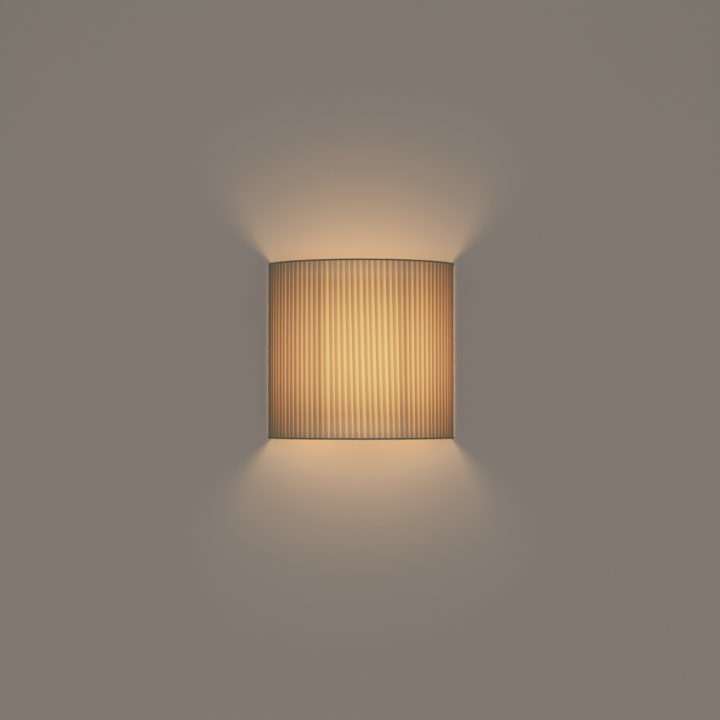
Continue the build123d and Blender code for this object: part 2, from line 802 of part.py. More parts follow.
with BuildPart() as holder_screws:
    for side in (-1, 1):
        screw_x = side * terminal_offset
        screw_y = -bulb_reach - holder_screw_forward
        head_low = insert_bottom - holder_screw_height
        post(screw_x, screw_y, holder_screw, insert_bottom, insert_bottom + terminal_high - fit_gap)
        post(screw_x, screw_y, holder_screw_head, head_low, insert_bottom)
save(holder_screws, "holder_screws")

with BuildPart() as threaded_sleeve:
    turned([
        (sleeve_inner, insert_top), (sleeve_outer, insert_top),
        (sleeve_outer, insert_top + sleeve_length),
        (sleeve_inner, insert_top + sleeve_length),
    ])
save(threaded_sleeve, "threaded_sleeve")

# Sprung strip: flat on the core, with a tongue that reaches up to the bulb's tip.
strip_end = sleeve_inner - strip_inset
strip_bend = strip_end / 2
with BuildPart() as centre_contact:
    with BuildSketch(Plane.XZ.offset(bulb_reach - strip_width / 2)):
        with BuildLine():
            Polyline(
                (-strip_end, insert_top),
                (-strip_end, insert_top + strip),
                (-strip_bend, insert_top + strip),
                (-tip_radius, contact_height),
                (tip_radius, contact_height),
                (tip_radius, contact_height - strip),
                (strip - tip_radius, contact_height - strip),
                (strip - strip_bend, insert_top),
                close=True,
            )
        make_face()
    extrude(amount=strip_width)
save(centre_contact, "centre_contact")

# ======================================================================================
# Bulb
# ======================================================================================

tip_top = bulb_tip_height + tip_height
insulator_top = tip_top + insulator_height
bulb_cap_top = insulator_top + bulb_cap_length

with BuildPart() as bulb_tip:
    turned([
        (0, bulb_tip_height), (tip_radius, bulb_tip_height), (tip_base, tip_top), (0, tip_top),
    ])
save(bulb_tip, "bulb_tip")

insulator_radius = cap_radius - insulator_step
with BuildPart() as bulb_insulator:
    turned([
        (0, tip_top), (tip_base, tip_top), (insulator_radius, insulator_top), (0, insulator_top),
    ])
save(bulb_insulator, "bulb_insulator")

cap_foot = insulator_top + run_gap
cap_bore = insulator_radius + run_gap
cap_shoulder = insulator_top + insulator_height
with BuildPart() as bulb_cap:
    turned([
        (cap_bore, cap_foot),
        (cap_radius - insulator_step / 2, cap_foot),
        (cap_radius, cap_shoulder),
        (cap_radius, bulb_cap_top),
        (cap_radius - cap_wall, bulb_cap_top),
        (cap_radius - cap_wall, cap_shoulder + cap_wall / 2),
        (cap_radius - insulator_step / 2 - cap_wall / 2, cap_foot + cap_wall),
        (cap_bore, cap_foot + cap_wall),
    ])
save(bulb_cap, "bulb_cap")

# Opal globe: a sphere cut off where its wall meets the collar.
mouth_radius = math.sqrt(globe_radius**2 - (collar_top - globe_middle) ** 2)
inner_globe = globe_radius - globe_wall
inner_mouth = math.sqrt(inner_globe**2 - (collar_top - globe_middle) ** 2)
mouth_turn = math.degrees(math.asin((collar_top - globe_middle) / globe_radius))
inner_turn = math.degrees(math.asin((collar_top - globe_middle) / inner_globe))
with BuildPart() as bulb_globe:
    with BuildSketch(Plane.XZ.offset(bulb_reach)):
        with BuildLine():
            CenterArc((0, globe_middle), globe_radius, mouth_turn, 90 - mouth_turn)
            Line((0, globe_middle + globe_radius), (0, globe_middle + inner_globe))
            CenterArc((0, globe_middle), inner_globe, inner_turn, 90 - inner_turn)
            Line((inner_mouth, collar_top), (mouth_radius, collar_top))
        make_face()
    revolve(axis=Axis((0, -bulb_reach, 0), (0, 0, 1)))
save(bulb_globe, "bulb_globe")

board_radius = inner_mouth - board_seat
board_low = collar_top - board_sheet
with BuildPart() as bulb_collar:
    turned([
        (collar_radius - collar_wall, bulb_cap_top - collar_plug),
        (collar_radius, bulb_cap_top - collar_plug),
        (collar_radius, bulb_cap_top),
        (cap_radius, bulb_cap_top),
        (mouth_radius, collar_top),
        (board_radius, collar_top),
        (board_radius, board_low),
        (collar_radius - collar_wall, bulb_cap_top + collar_wall / 2),
    ])
save(bulb_collar, "bulb_collar")

with BuildPart() as led_board:
    with BuildSketch(Plane.XY.offset(board_low)):
        with Locations((0, -bulb_reach)):
            Circle(board_radius - fit_gap)
    extrude(amount=board_sheet)
    with BuildSketch(Plane.XY.offset(collar_top)):
        with Locations((0, -bulb_reach)):
            with PolarLocations(led_ring, led_count):
                Rectangle(led_long, led_wide)
    extrude(amount=led_height)
save(led_board, "led_board")

driver_board_low = insulator_top + driver_board_foot
driver_block_y = -bulb_reach - (board_sheet + driver_block) / 2
with BuildPart() as led_driver:
    with BuildSketch(Plane.XY.offset(driver_board_low)):
        with Locations((0, -bulb_reach)):
            Rectangle(driver_board_width, board_sheet)
    extrude(amount=board_low - driver_board_low)
    with BuildSketch(Plane.XY.offset(insulator_top + driver_block_foot)):
        with Locations((0, driver_block_y)):
            Rectangle(driver_block, driver_block)
    extrude(amount=driver_block_height)
save(led_driver, "led_driver")

print("supply wire radii", supply_radii, "earth wire radius", earth_radius)
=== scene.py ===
"""Looks of a fabric shade wall light, made around its packed CAD frame.

Metres, with X to the right, Z up and the wall on the plane Y = 0; the light stands on the
-Y side. The origin is on the wall at the middle of the shade's height.
"""

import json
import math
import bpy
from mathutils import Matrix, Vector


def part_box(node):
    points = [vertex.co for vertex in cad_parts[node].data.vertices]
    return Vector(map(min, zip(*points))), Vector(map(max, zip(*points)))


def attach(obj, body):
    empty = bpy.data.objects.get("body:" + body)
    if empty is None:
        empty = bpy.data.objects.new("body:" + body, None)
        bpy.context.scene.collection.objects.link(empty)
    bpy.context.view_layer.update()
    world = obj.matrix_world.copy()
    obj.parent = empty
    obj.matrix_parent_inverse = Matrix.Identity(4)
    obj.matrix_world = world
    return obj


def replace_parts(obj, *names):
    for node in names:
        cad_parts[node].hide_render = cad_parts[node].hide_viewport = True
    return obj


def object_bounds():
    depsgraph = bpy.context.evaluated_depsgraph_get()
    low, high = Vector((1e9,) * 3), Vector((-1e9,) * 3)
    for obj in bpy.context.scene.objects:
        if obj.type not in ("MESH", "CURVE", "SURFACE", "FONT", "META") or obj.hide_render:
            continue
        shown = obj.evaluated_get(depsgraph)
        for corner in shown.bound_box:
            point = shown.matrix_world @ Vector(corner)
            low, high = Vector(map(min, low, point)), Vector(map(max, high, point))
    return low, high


bl_info = {
    "name": "Fabric shade wall light",
    "version": (1, 0, 0),
    "blender": (4, 5, 0),
    "location": "3D View > Sidebar > Wall Light",
    "description": "Pleated shade, ribbons, bulb, threads and finishes of a wall light, and its stage",
    "category": "Object",
}

from functools import partial

import bmesh
import bpy
import numpy as np
from bpy.props import FloatProperty, FloatVectorProperty, IntProperty, PointerProperty
from bpy.types import Operator, Panel, PropertyGroup
from mathutils import Vector

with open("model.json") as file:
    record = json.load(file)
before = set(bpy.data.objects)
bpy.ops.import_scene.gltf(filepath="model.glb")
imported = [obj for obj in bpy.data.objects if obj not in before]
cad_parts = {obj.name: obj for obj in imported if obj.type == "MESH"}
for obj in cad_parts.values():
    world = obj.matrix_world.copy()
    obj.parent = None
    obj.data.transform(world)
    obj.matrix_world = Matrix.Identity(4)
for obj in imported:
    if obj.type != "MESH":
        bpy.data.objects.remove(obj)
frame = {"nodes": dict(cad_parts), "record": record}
CAD_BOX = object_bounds()

MM = 0.001
CLOTH_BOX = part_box("shade_fabric")
BULB_AXIS = (sum(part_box("bulb_tip"), Vector()) / 2).xy  # the bulb's axis in plan


# ---- settings --------------------------------------------------------------------------


def size(name, default, description, soft_max=0.5):
    """A length setting in metres."""
    return FloatProperty(
        name=name, description=description, default=default, min=0.0, soft_max=soft_max,
        subtype="DISTANCE", unit="LENGTH", precision=5,
    )


def angle_of(name, default, description):
    """An angle setting, whose default is given in degrees."""
    return FloatProperty(
        name=name, description=description, default=math.radians(default), subtype="ANGLE")


def power(name, default, description):
    """A power setting in watts."""
    return FloatProperty(
        name=name, description=description, default=default, min=0.0, unit="POWER")


def hex_colour(code):
    """An sRGB hex code as linear red, green and blue."""
    channels = [int(code[i : i + 2], 16) / 255 for i in (1, 3, 5)]
    return [c / 12.92 if c <= 0.04045 else ((c + 0.055) / 1.055) ** 2.4 for c in channels]


def colour(name, code, description):
    """A colour setting, given as an sRGB hex code."""
    return FloatVectorProperty(
        name=name, description=description, default=hex_colour(code), size=3,
        min=0.0, max=1.0, subtype="COLOR",
    )


class ShadeSettings(PropertyGroup):
    """Sizes and colours of the shade."""

    width: size("Width", -2 * CLOTH_BOX[0].x, "Across the pleats at the wall")
    wall_gap: size("Wall gap", 1.5 * MM, "Rear edges of the shade to the wall")
    ribbon: size("Ribbon", 0.45 * MM, "How far the rim ribbon stands proud of the pleats")
    pleats: IntProperty(
        name="Pleats", description="Knife pleats round the shade", default=43, min=8, max=120
    )
    rise: size("Rise", 0.95 * MM, "A pleat's fold above the single layer beside it")
    cloth: size("Cloth", 0.22 * MM, "Thickness of one layer of the pleated cloth")
    lean: size("Lean", 6.5 * MM, "How far the leaning pleats drift from foot to top")
    rib: size("Rib", 1.3 * MM, "Spacing of the ribs across the rim ribbon")
    stitch: size("Stitch", 2.0 * MM, "Length of one hem stitch")
    stitch_pitch: size("Stitch pitch", 3.0 * MM, "From one hem stitch to the next")
    # painted shade: the cloth is given a darker brown than its own colour, standing in for the shade
    # of a dim room
    shaded_cloth_colour: colour("Cloth", "#625A47", "The cloth where no lamplight comes through")
    ribbon_colour: colour("Ribbon", "#4E4C3B", "The ribbon over both rims")


class GlowSettings(PropertyGroup):
    """How the lamp shows through the pleats."""

    peak: colour("Peak", "#DABE76", "Light through a single layer beside the lamp")
    height: FloatProperty(
        name="Height", description="Height of the brightest place", default=-15 * MM,
        subtype="DISTANCE", unit="LENGTH", precision=5,
    )
    above: size("Above", 150 * MM, "How far the glow spreads upwards from there")
    below: size("Below", 115 * MM, "How far the glow spreads downwards from there")
    middle: angle_of("Middle", 5.5, "Angle of the brightest place round the shade")
    across: angle_of("Across", 65, "How far the glow spreads round the shade")
    pleat_share: FloatProperty(
        name="Pleat share", description="Light through three layers as a share of one layer's",
        default=0.54, min=0.0, max=1.0, subtype="FACTOR",
    )


class LampSettings(PropertyGroup):
    """Sizes and colours of the bulb and the lampholder's thread."""

    thread_pitch: size("Thread pitch", 3.629 * MM, "Rise of the bulb's thread in one turn")
    thread_depth: size("Thread depth", 0.9 * MM, "Crest to root of the bulb's thread")
    tube_pitch: size("Tube pitch", 1.0 * MM, "Rise of the threaded tube's fine thread")
    globe_wall: size("Globe wall", 1.2 * MM, "Wall of the opal globe")
    glow: colour("Globe glow", "#FFE9C0", "Lit colour of the opal globe")


class StageSettings(PropertyGroup):
    """Backdrop, lights and camera."""

    wall: colour("Wall", "#7B746E", "Plain plaster behind the light")
    floor: colour("Floor", "#D8D4CC", "Plain floor below the light")
    lamplight: colour("Lamplight", "#FFD49A", "Light that leaves the bulb")
    wall_glow: power("Wall glow", 580.0, "Power of the lamplight on the wall")
    wall_reach: size("Wall reach", 176 * MM, "How far the lamplight carries over the wall")
    inner_power: power("Inner power", 0.3, "Power of the lamplight on the fitting itself")
    camera_distance: size("Camera distance", 2.784, "From the wall to the camera", 5.0)
    lens: FloatProperty(
        name="Lens", description="Focal length on a 36 mm sensor", default=99.6, min=20.0
    )


# ---- mesh helpers ----------------------------------------------------------------------

MERGE_DISTANCE = 1e-6
SLIVER = 1e-7  # the shortest edge that stays
CREASE = math.radians(40)  # edges that turn by more than this are crisp


def shade_circle(shade):
    """Radius, half angle and centre of the circle that the folds stand on."""
    half_width = shade.width / 2
    front = -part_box("top_binding")[0].y - shade.ribbon
    depth = front - shade.wall_gap
    radius = (half_width**2 + depth**2) / (2 * depth)
    return radius, 2 * math.atan(depth / half_width), radius - front


def new_piece(name, mesh, body, material):
    """Link a finished mesh as a piece that rides on a body."""
    mesh.name = name
    piece = bpy.data.objects.new(name, mesh)
    bpy.context.scene.collection.objects.link(piece)
    mesh.materials.clear()
    mesh.materials.append(material)
    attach(piece, body)
    return piece


def closed_mesh(name, points, faces):
    """A mesh with doubled points merged, normals outwards and smooth faces."""
    mesh = bpy.data.meshes.new(name)
    mesh.from_pydata([tuple(p) for p in points], [], [tuple(f) for f in faces])
    shape = bmesh.new()
    shape.from_mesh(mesh)
    bmesh.ops.remove_doubles(shape, verts=shape.verts, dist=MERGE_DISTANCE)
    bmesh.ops.dissolve_degenerate(shape, edges=shape.edges, dist=SLIVER)
    bmesh.ops.recalc_face_normals(shape, faces=shape.faces)
    shape.to_mesh(mesh)
    shape.free()
    mesh.shade_smooth()
    mesh.set_sharp_from_angle(angle=CREASE)
    return mesh


def strip_mesh(name, section, circle, span, columns, ripple=None):
    """A closed band that carries a section of radius and height pairs round the shade."""
    centre = circle[2]
    angles = np.linspace(span[0], span[1], columns + 1)
    loop = np.array(section)
    count = len(loop)
    points = []
    for angle in angles:
        radii, heights = ripple(angle, *loop.T) if ripple else loop.T
        ring = [radii * math.sin(angle), centre - radii * math.cos(angle), heights]
        points.extend(np.stack(ring, axis=1))
    faces = [list(range(count)), [columns * count + i for i in range(count)]]
    for column in range(columns):
        for i in range(count):
            a, b = column * count + i, column * count + (i + 1) % count
            faces.append([a, b, b + count, a + count])
    return closed_mesh(name, points, faces)


def turned_mesh(name, outline, segments, thread=None):
    """A solid of revolution about the bulb's axis from radius and height pairs."""
    loop = np.array(outline)
    count = len(loop)
    points = []
    for step in range(segments):
        angle = 2 * math.pi * step / segments
        radii = loop[:, 0] + (thread(angle, loop[:, 1]) if thread else 0.0)
        ring = [
            BULB_AXIS.x + radii * math.cos(angle),
            BULB_AXIS.y + radii * math.sin(angle),
            loop[:, 1],
        ]
        points.extend(np.stack(ring, axis=1))
    faces = []
    for step in range(segments):
        for i in range(count):
            a, b = step * count + i, step * count + (i + 1) % count
            c, d = (b + count) % len(points), (a + count) % len(points)
            faces.append([a, b, c, d])
    return closed_mesh(name, points, faces)


def plain_mesh(thing):
    """The evaluated mesh of an object, which is then removed."""
    graph = bpy.context.evaluated_depsgraph_get()
    graph.update()
    mesh = bpy.data.meshes.new_from_object(
        thing.evaluated_get(graph), preserve_all_data_layers=True, depsgraph=graph
    )
    bpy.data.objects.remove(thing)
    return mesh


def grown(name, tree, inputs):
    """An empty object whose mesh a node tree makes, with the tree's inputs set by identifier."""
    thing = bpy.data.objects.new(name, bpy.data.meshes.new(name))
    bpy.context.scene.collection.objects.link(thing)
    modifier = thing.modifiers.new("shape", "NODES")
    modifier.node_group = tree
    for item in tree.interface.items_tree:
        if item.item_type == "SOCKET" and item.in_out == "INPUT" and item.name in inputs:
            modifier[item.identifier] = inputs[item.name]
    return thing


# ---- node helper -----------------------------------------------------------------------

MATHS = "ShaderNodeMath"
VECTOR_MATHS = "ShaderNodeVectorMath"
JOIN = "ShaderNodeCombineXYZ"
SPLIT = "ShaderNodeSeparateXYZ"
NOISE = "ShaderNodeTexNoise"
CHANCE = "ShaderNodeTexWhiteNoise"
BLEND = "ShaderNodeMix"
RESCALE = "ShaderNodeMapRange"


def add(tree, kind, *values, **settings):
    """Add a node with its settings, and fill its inputs from values, sockets or nodes.

    The values come in the order of the inputs, or as one dictionary by name or number.
    """
    node = tree.nodes.new(kind)
    for name, value in settings.items():
        setattr(node, name, value)
    named = len(values) == 1 and isinstance(values[0], dict)
    for key, value in (values[0] if named else dict(enumerate(values))).items():
        socket = node.inputs[key]
        if isinstance(value, bpy.types.Node):
            value = value.outputs[0]
        if isinstance(value, bpy.types.NodeSocket):
            tree.links.new(value, socket)
        else:
            socket.default_value = value
    return node


def shape_tree(name, sockets):
    """An empty node tree that makes a shape, with named inputs and their defaults."""
    tree = bpy.data.node_groups.new(name, "GeometryNodeTree")
    for label, kind, default in sockets:
        socket = tree.interface.new_socket(
            label, in_out="INPUT", socket_type="NodeSocket" + kind)
        if default is not None:
            socket.default_value = default
    tree.interface.new_socket("Geometry", in_out="OUTPUT", socket_type="NodeSocketGeometry")
    return tree, tree.nodes.new("NodeGroupInput").outputs


def finish_tree(tree, shape, material):
    """End a tree with real geometry in its material."""
    real = add(tree, "GeometryNodeRealizeInstances", {"Geometry": shape})
    made = add(tree, "GeometryNodeSetMaterial", {"Geometry": real, "Material": material})
    add(tree, "NodeGroupOutput", {"Geometry": made})


# ---- the pleated cloth -----------------------------------------------------------------

# One knife pleat, as shares of the pitch and of the rise. The cloth runs right from the
# fold at 0, goes under the next pleat to the inner fold at 1.62 and comes back to 1.
PLEAT_SECTION = [
    (0.00, -0.06), (0.05, 0.00), (0.20, -0.09), (0.35, -0.21), (0.50, -0.36), (0.62, -0.49),
    (0.74, -0.63), (0.87, -0.81), (1.00, -1.00), (1.30, -1.08), (1.57, -1.16), (1.62, -1.08),
    (1.57, -0.98), (1.30, -0.74), (1.04, -0.55), (0.985, -0.32),
]
FACE_STEPS = 8  # steps of the section from the fold to the next pleat
CLOTH_ROWS = 44
CURVE_SHARE = 2  # the section's values are halved to fit a curve node, which ends at 1
WAVER_SCALE = 26.0  # waves of the hand-set folds in a metre
OUTWARD_WAVER = 0.4  # how far the folds waver outwards, as a share of sideways
CLOTH_CREASE = math.radians(50)


def section_curve(tree, place, values):
    """A curve node that gives half of one coordinate of the pleat's section by its step."""
    curve = add(tree, "ShaderNodeFloatCurve", {"Value": place})
    points = curve.mapping.curves[0].points
    steps = len(values)
    halves = [value / CURVE_SHARE for value in values]
    points[0].location = (0.0, halves[0])
    points[1].location = (1.0, halves[-1])
    for i, half in enumerate(halves[1:-1], 1):
        points.new(i / (steps - 1), half)
    for point in points:
        point.handle_type = "VECTOR"
    curve.mapping.update()
    return curve


def pleat_tree():
    """Node tree of the pleated cloth: a grid folded into leaning knife pleats on an arc."""
    tree, given = shape_tree("pleated cloth", [
        ("Pleats", "Int", 43), ("Rows", "Int", CLOTH_ROWS), ("Radius", "Float", 0.136),
        ("Half Angle", "Float", 1.272), ("Centre", "Float", 0.0385),
        ("Height", "Float", 0.244), ("Rise", "Float", 0.95 * MM), ("Lean", "Float", 6.5 * MM),
        ("Lean Middle", "Float", math.radians(8)), ("Lean Spread", "Float", math.radians(28)),
        ("Waver", "Float", 0.5 * MM), ("Uneven", "Float", 0.9 * MM), ("Seed", "Float", 3.0),
        ("Material", "Material", None),
    ])
    node = partial(add, tree)
    steps = len(PLEAT_SECTION)

    # a flat grid, whose columns are counted in pleats and in steps of the section
    columns = node(MATHS, given["Pleats"], steps, operation="MULTIPLY")
    spans = node(MATHS, columns, steps - FACE_STEPS, operation="SUBTRACT")
    grid = node("GeometryNodeMeshGrid", {
        "Size X": 1.0, "Size Y": 1.0, "Vertices X": node(MATHS, spans, 1, operation="ADD"),
        "Vertices Y": given["Rows"],
    })
    flat = node(SPLIT, node("GeometryNodeInputPosition"))
    across, up = flat.outputs["X"], flat.outputs["Y"]
    from_edge = node(MATHS, across, 0.5, operation="ADD")
    in_pleats = node(MATHS, spans, steps, operation="DIVIDE")
    place = node(MATHS, from_edge, in_pleats, operation="MULTIPLY")
    safe_place = node(MATHS, place, 1e-4, operation="ADD")
    pleat = node(MATHS, safe_place, operation="FLOOR")
    left_over = node(MATHS, place, pleat, operation="SUBTRACT")
    step = node(MATHS, left_over, 0.0, operation="MAXIMUM")

    # where the section puts each step, round the shade and in depth
    first_across, first_depth = PLEAT_SECTION[0]
    closing = PLEAT_SECTION + [(1 + first_across, first_depth)]
    half_along = section_curve(tree, step, [a for a, _ in closing])
    half_depth = section_curve(tree, step, [-d for _, d in closing])
    whole_turn = node(MATHS, given["Half Angle"], 2, operation="MULTIPLY")
    turn = node(MATHS, whole_turn, given["Pleats"], operation="DIVIDE")
    along = node(MATHS, half_along, CURVE_SHARE, operation="MULTIPLY")
    pleats_in = node(MATHS, pleat, along, operation="ADD")
    swept = node(MATHS, pleats_in, turn, operation="MULTIPLY")
    upright = node(MATHS, swept, given["Half Angle"], operation="SUBTRACT")

    # the lean, which is strongest a little right of the middle
    past_middle = node(MATHS, upright, given["Lean Middle"], operation="SUBTRACT")
    offset = node(MATHS, past_middle, given["Lean Spread"], operation="DIVIDE")
    square = node(MATHS, offset, offset, operation="MULTIPLY")
    fading = node(MATHS, square, -1, operation="MULTIPLY")
    leaning = node(MATHS, fading, operation="EXPONENT")
    full_lean = node(MATHS, given["Lean"], leaning, operation="MULTIPLY")
    drift = node(MATHS, full_lean, up, operation="MULTIPLY")
    rise = node(MATHS, up, given["Height"], operation="MULTIPLY")

    # folds that waver a little along their length, and pleats of uneven width
    arc = node(MATHS, upright, given["Radius"], operation="MULTIPLY")
    spot = node(JOIN, arc, rise, given["Seed"])
    noise = node(NOISE, {"Vector": spot, "Scale": WAVER_SCALE, "Detail": 2.0})
    centred = node(VECTOR_MATHS, noise.outputs["Color"], (0.5, 0.5, 0.5), operation="SUBTRACT")
    waver = node(SPLIT, centred)
    this_seed = node(MATHS, pleat, given["Seed"], operation="ADD")
    next_seed = node(MATHS, this_seed, 1, operation="ADD")
    this_pleat = node(CHANCE, {"W": this_seed}, noise_dimensions="1D")
    next_pleat = node(CHANCE, {"W": next_seed}, noise_dimensions="1D")
    handed_on = node(BLEND, {
        "Factor": step, 2: this_pleat.outputs["Value"], 3: next_pleat.outputs["Value"]})
    either_way = node(MATHS, handed_on, 0.5, operation="SUBTRACT")
    uneven = node(MATHS, either_way, given["Uneven"], operation="MULTIPLY")
    wavering = node(MATHS, waver.outputs["X"], given["Waver"], operation="MULTIPLY")
    sideways = node(MATHS, wavering, uneven, operation="ADD")
    moved = node(MATHS, sideways, drift, operation="SUBTRACT")
    shift = node(MATHS, moved, given["Radius"], operation="DIVIDE")
    angle = node(MATHS, upright, shift, operation="ADD")
    bulge = node(MATHS, waver.outputs["Y"], given["Waver"], operation="MULTIPLY")
    outwards = node(MATHS, bulge, OUTWARD_WAVER, operation="MULTIPLY")

    depth = node(MATHS, half_depth, -CURVE_SHARE, operation="MULTIPLY")
    fold = node(MATHS, depth, given["Rise"], operation="MULTIPLY")
    proud = node(MATHS, fold, outwards, operation="ADD")
    radius = node(MATHS, given["Radius"], proud, operation="ADD")
    sine = node(MATHS, angle, operation="SINE")
    cosine = node(MATHS, angle, operation="COSINE")
    to_right = node(MATHS, radius, sine, operation="MULTIPLY")
    to_front = node(MATHS, radius, cosine, operation="MULTIPLY")
    position = node(
        JOIN, to_right, node(MATHS, given["Centre"], to_front, operation="SUBTRACT"), rise)
    cloth_place = node(
        JOIN, node(MATHS, swept, given["Radius"], operation="MULTIPLY"), rise,
        node(MATHS, step, steps, operation="MULTIPLY"))
    # stored before the folding, because fields are worked out again on moved points
    stored = node(
        "GeometryNodeStoreNamedAttribute",
        {"Geometry": grid, "Name": "cloth_place", "Value": cloth_place},
        data_type="FLOAT_VECTOR", domain="POINT",
    )
    folded = node("GeometryNodeSetPosition", {"Geometry": stored, "Position": position})
    finish_tree(tree, folded, given["Material"])
    return tree


# ---- lamplight in the cloth ------------------------------------------------------------

# Angles round the shade are from the front; the light and its losses are shares of 1.
STRUT_ANGLE = math.radians(26)
STRUT_SHADOW = math.radians(2.8)
STRUT_LOSS = 0.26
SIDE_ANGLE = math.radians(62)
SIDE_NARROWING = 0.15  # how much less far the glow spreads up and down at the sides
FADE_UPRIGHT = 2.1  # how steeply the glow fades up and down
FADE_ROUND = 2.2  # how steeply the glow fades round the shade
EDGE_ANGLES = (math.radians(64), math.radians(71))  # where the side hems close the shade
EDGE_LOSS_LEFT = 0.8
EDGE_LOSS_RIGHT = 0.5
TOP_HEM_LOSS = 0.12
FOOT_HEM_LOSS = 0.05
HEM_BLUR = 0.5 * MM

RED_SHOULDER = 2.8  # how soon the red of the glow levels off
YELLOWING = 0.82  # power of the green and blue of the glow
SIDE_GREEN_LOSS = 0.3  # how much redder the weak light at the sides is
SIDE_BLUE_LOSS = 0.5

LAYERED = 0.66  # share of the pitch with three layers of cloth at the rims
LAYERED_LESS = 0.14  # how much less of it there is at half height
LAYER_EDGE = (-0.14, 0.10)  # how softly the three layers end, as shares of the pitch
LAYER_POWER = 0.7  # how much the layers dim weak light more than strong light
LAYER_FLOOR = 0.86  # light in the folded part beside the fold
LAYER_SLOPE = 0.28  # how it rises away from the fold
LAYER_SLOPE_END = 0.6
FOLD_SHARE = 0.55  # light along the fold itself
INNER_SHARE = 0.7  # light that the cloth's inner side throws back
HEM_INNER_SHARE = 0.5

UNEVEN_SEED = 7
UNEVEN_LAYERS = 0.07  # how much the folded share of the pitch differs between pleats
UNEVEN_LIGHT = 0.07
STRAY_ANGLE = math.radians(40)
STRAY_HEIGHTS = (0.35, 0.45)  # where stray light comes in, as shares of the height
STRAY_LAYERED = (0.065, 0.067, 0.052)  # light thrown about between the layers near the rims
STRAY_SINGLE = (0.012, 0.028, 0.038)


def smooth(value, low, high):
    """A smooth step from 0 at low to 1 at high."""
    t = np.clip((value - low) / (high - low), 0, 1)
    return t * t * (3 - 2 * t)


def lamp_level(angle, z, glow):
    """Lamplight that reaches the cloth at an angle round the shade and a height."""
    side = np.clip(np.abs(angle) / SIDE_ANGLE, 0, 1)
    distance = z - glow.height
    spread = np.where(distance > 0, glow.above, glow.below) * (1 - SIDE_NARROWING * side)
    level = np.exp(-((np.abs(distance) / spread) ** FADE_UPRIGHT))
    level *= np.exp(-(np.abs((angle - glow.middle) / glow.across) ** FADE_ROUND))
    edge_loss = np.where(angle > 0, EDGE_LOSS_RIGHT, EDGE_LOSS_LEFT)
    return level * (1 - edge_loss * smooth(np.abs(angle), *EDGE_ANGLES))


def glow_colours(light, angle, glow):
    """Colours of a light level: yellow where it is strong and redder as it fades."""
    side = np.clip(np.abs(angle) / SIDE_ANGLE, 0, 1)
    peak = np.array(glow.peak)
    red = peak[0] * (1 - np.exp(-RED_SHOULDER * light)) / (1 - math.exp(-RED_SHOULDER))
    reddened = side**2 * (1 - light)
    green = peak[1] * light**YELLOWING * (1 - SIDE_GREEN_LOSS * reddened)
    blue = peak[2] * light**YELLOWING * (1 - SIDE_BLUE_LOSS * reddened)
    return np.stack([red, green, blue, np.ones(len(light))], axis=1)


def place_of(mesh, circle):
    """Angle round the shade, radius and height of each vertex."""
    at = np.empty(len(mesh.vertices) * 3)
    mesh.vertices.foreach_get("co", at)
    x, y, z = at.reshape(-1, 3).T
    return np.arctan2(x, circle[2] - y), np.hypot(x, circle[2] - y), z


def store_glow(mesh, colours):
    """Keep the glow as a colour on each vertex."""
    attribute = mesh.attributes.new("glow", "FLOAT_COLOR", "POINT")
    attribute.data.foreach_set("color", colours.astype(np.float32).ravel())


def glow_inside(mesh, circle, glow, share):
    """Store the lamplight that the inward side of a band throws back."""
    angle, radius, z = place_of(mesh, circle)
    inward = radius < (radius.min() + radius.max()) / 2
    light = share * lamp_level(angle, z, glow) * inward
    store_glow(mesh, glow_colours(light, angle, glow))


def glow_through(mesh, circle, glow, height):
    """Store the light that comes through the cloth, and that its inner side throws back."""
    total = len(mesh.vertices)
    outer = total // 2  # Solidify adds the inner side's vertices after the outer side's
    angle, _, z = place_of(mesh, circle)
    stored = np.empty(total * 3, np.float32)
    mesh.attributes["cloth_place"].data.foreach_get("vector", stored)
    step = stored.reshape(-1, 3)[:, 2]

    light = lamp_level(angle, z, glow)
    inner_light = light[outer:].copy()
    from_strut = (np.abs(angle) - STRUT_ANGLE) / STRUT_SHADOW
    light *= 1 - STRUT_LOSS * np.exp(-(from_strut**2))
    top_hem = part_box("top_hem")[0].z
    foot_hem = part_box("bottom_hem")[1].z
    light *= 1 - TOP_HEM_LOSS * smooth(z, top_hem - HEM_BLUR, top_hem + HEM_BLUR)
    light *= 1 - FOOT_HEM_LOSS * smooth(-z, -foot_hem - HEM_BLUR, -foot_hem + HEM_BLUR)

    sections = np.array([a for a, _ in PLEAT_SECTION] + [1.0])
    face = np.interp(step, np.arange(len(sections)), sections)
    pleat = np.arange(total) % outer // CLOTH_ROWS // len(PLEAT_SECTION)
    chance = np.random.default_rng(UNEVEN_SEED)
    layered = LAYERED - LAYERED_LESS * (1 - (2 * z / height) ** 2)
    layered += chance.uniform(-UNEVEN_LAYERS, UNEVEN_LAYERS, pleat.max() + 1)[pleat]
    light *= 1 + chance.uniform(-UNEVEN_LIGHT, UNEVEN_LIGHT, pleat.max() + 1)[pleat]
    single = smooth(face, layered + LAYER_EDGE[0], layered + LAYER_EDGE[1])
    single = np.where(step > FACE_STEPS + 1.5, 0.0, single)  # the underlay is never single
    share = glow.pleat_share * light**LAYER_POWER
    slope = LAYER_FLOOR + LAYER_SLOPE * np.clip(face, 0, LAYER_SLOPE_END)
    light *= share * slope * (1 - single) + single
    on_fold = (step < 0.5) | (step > len(sections) - 2.5)
    light *= np.where(on_fold, FOLD_SHARE, 1.0)
    light[outer:] = INNER_SHARE * inner_light

    colours = glow_colours(light, angle, glow)
    near_rims = smooth(np.abs(z), *(share_of * height for share_of in STRAY_HEIGHTS))
    stray = np.exp(-((angle / STRAY_ANGLE) ** 2)) * near_rims
    colours[:, :3] += np.outer(stray * (1 - single), STRAY_LAYERED)
    colours[:, :3] += np.outer(stray * single, STRAY_SINGLE)
    store_glow(mesh, colours)


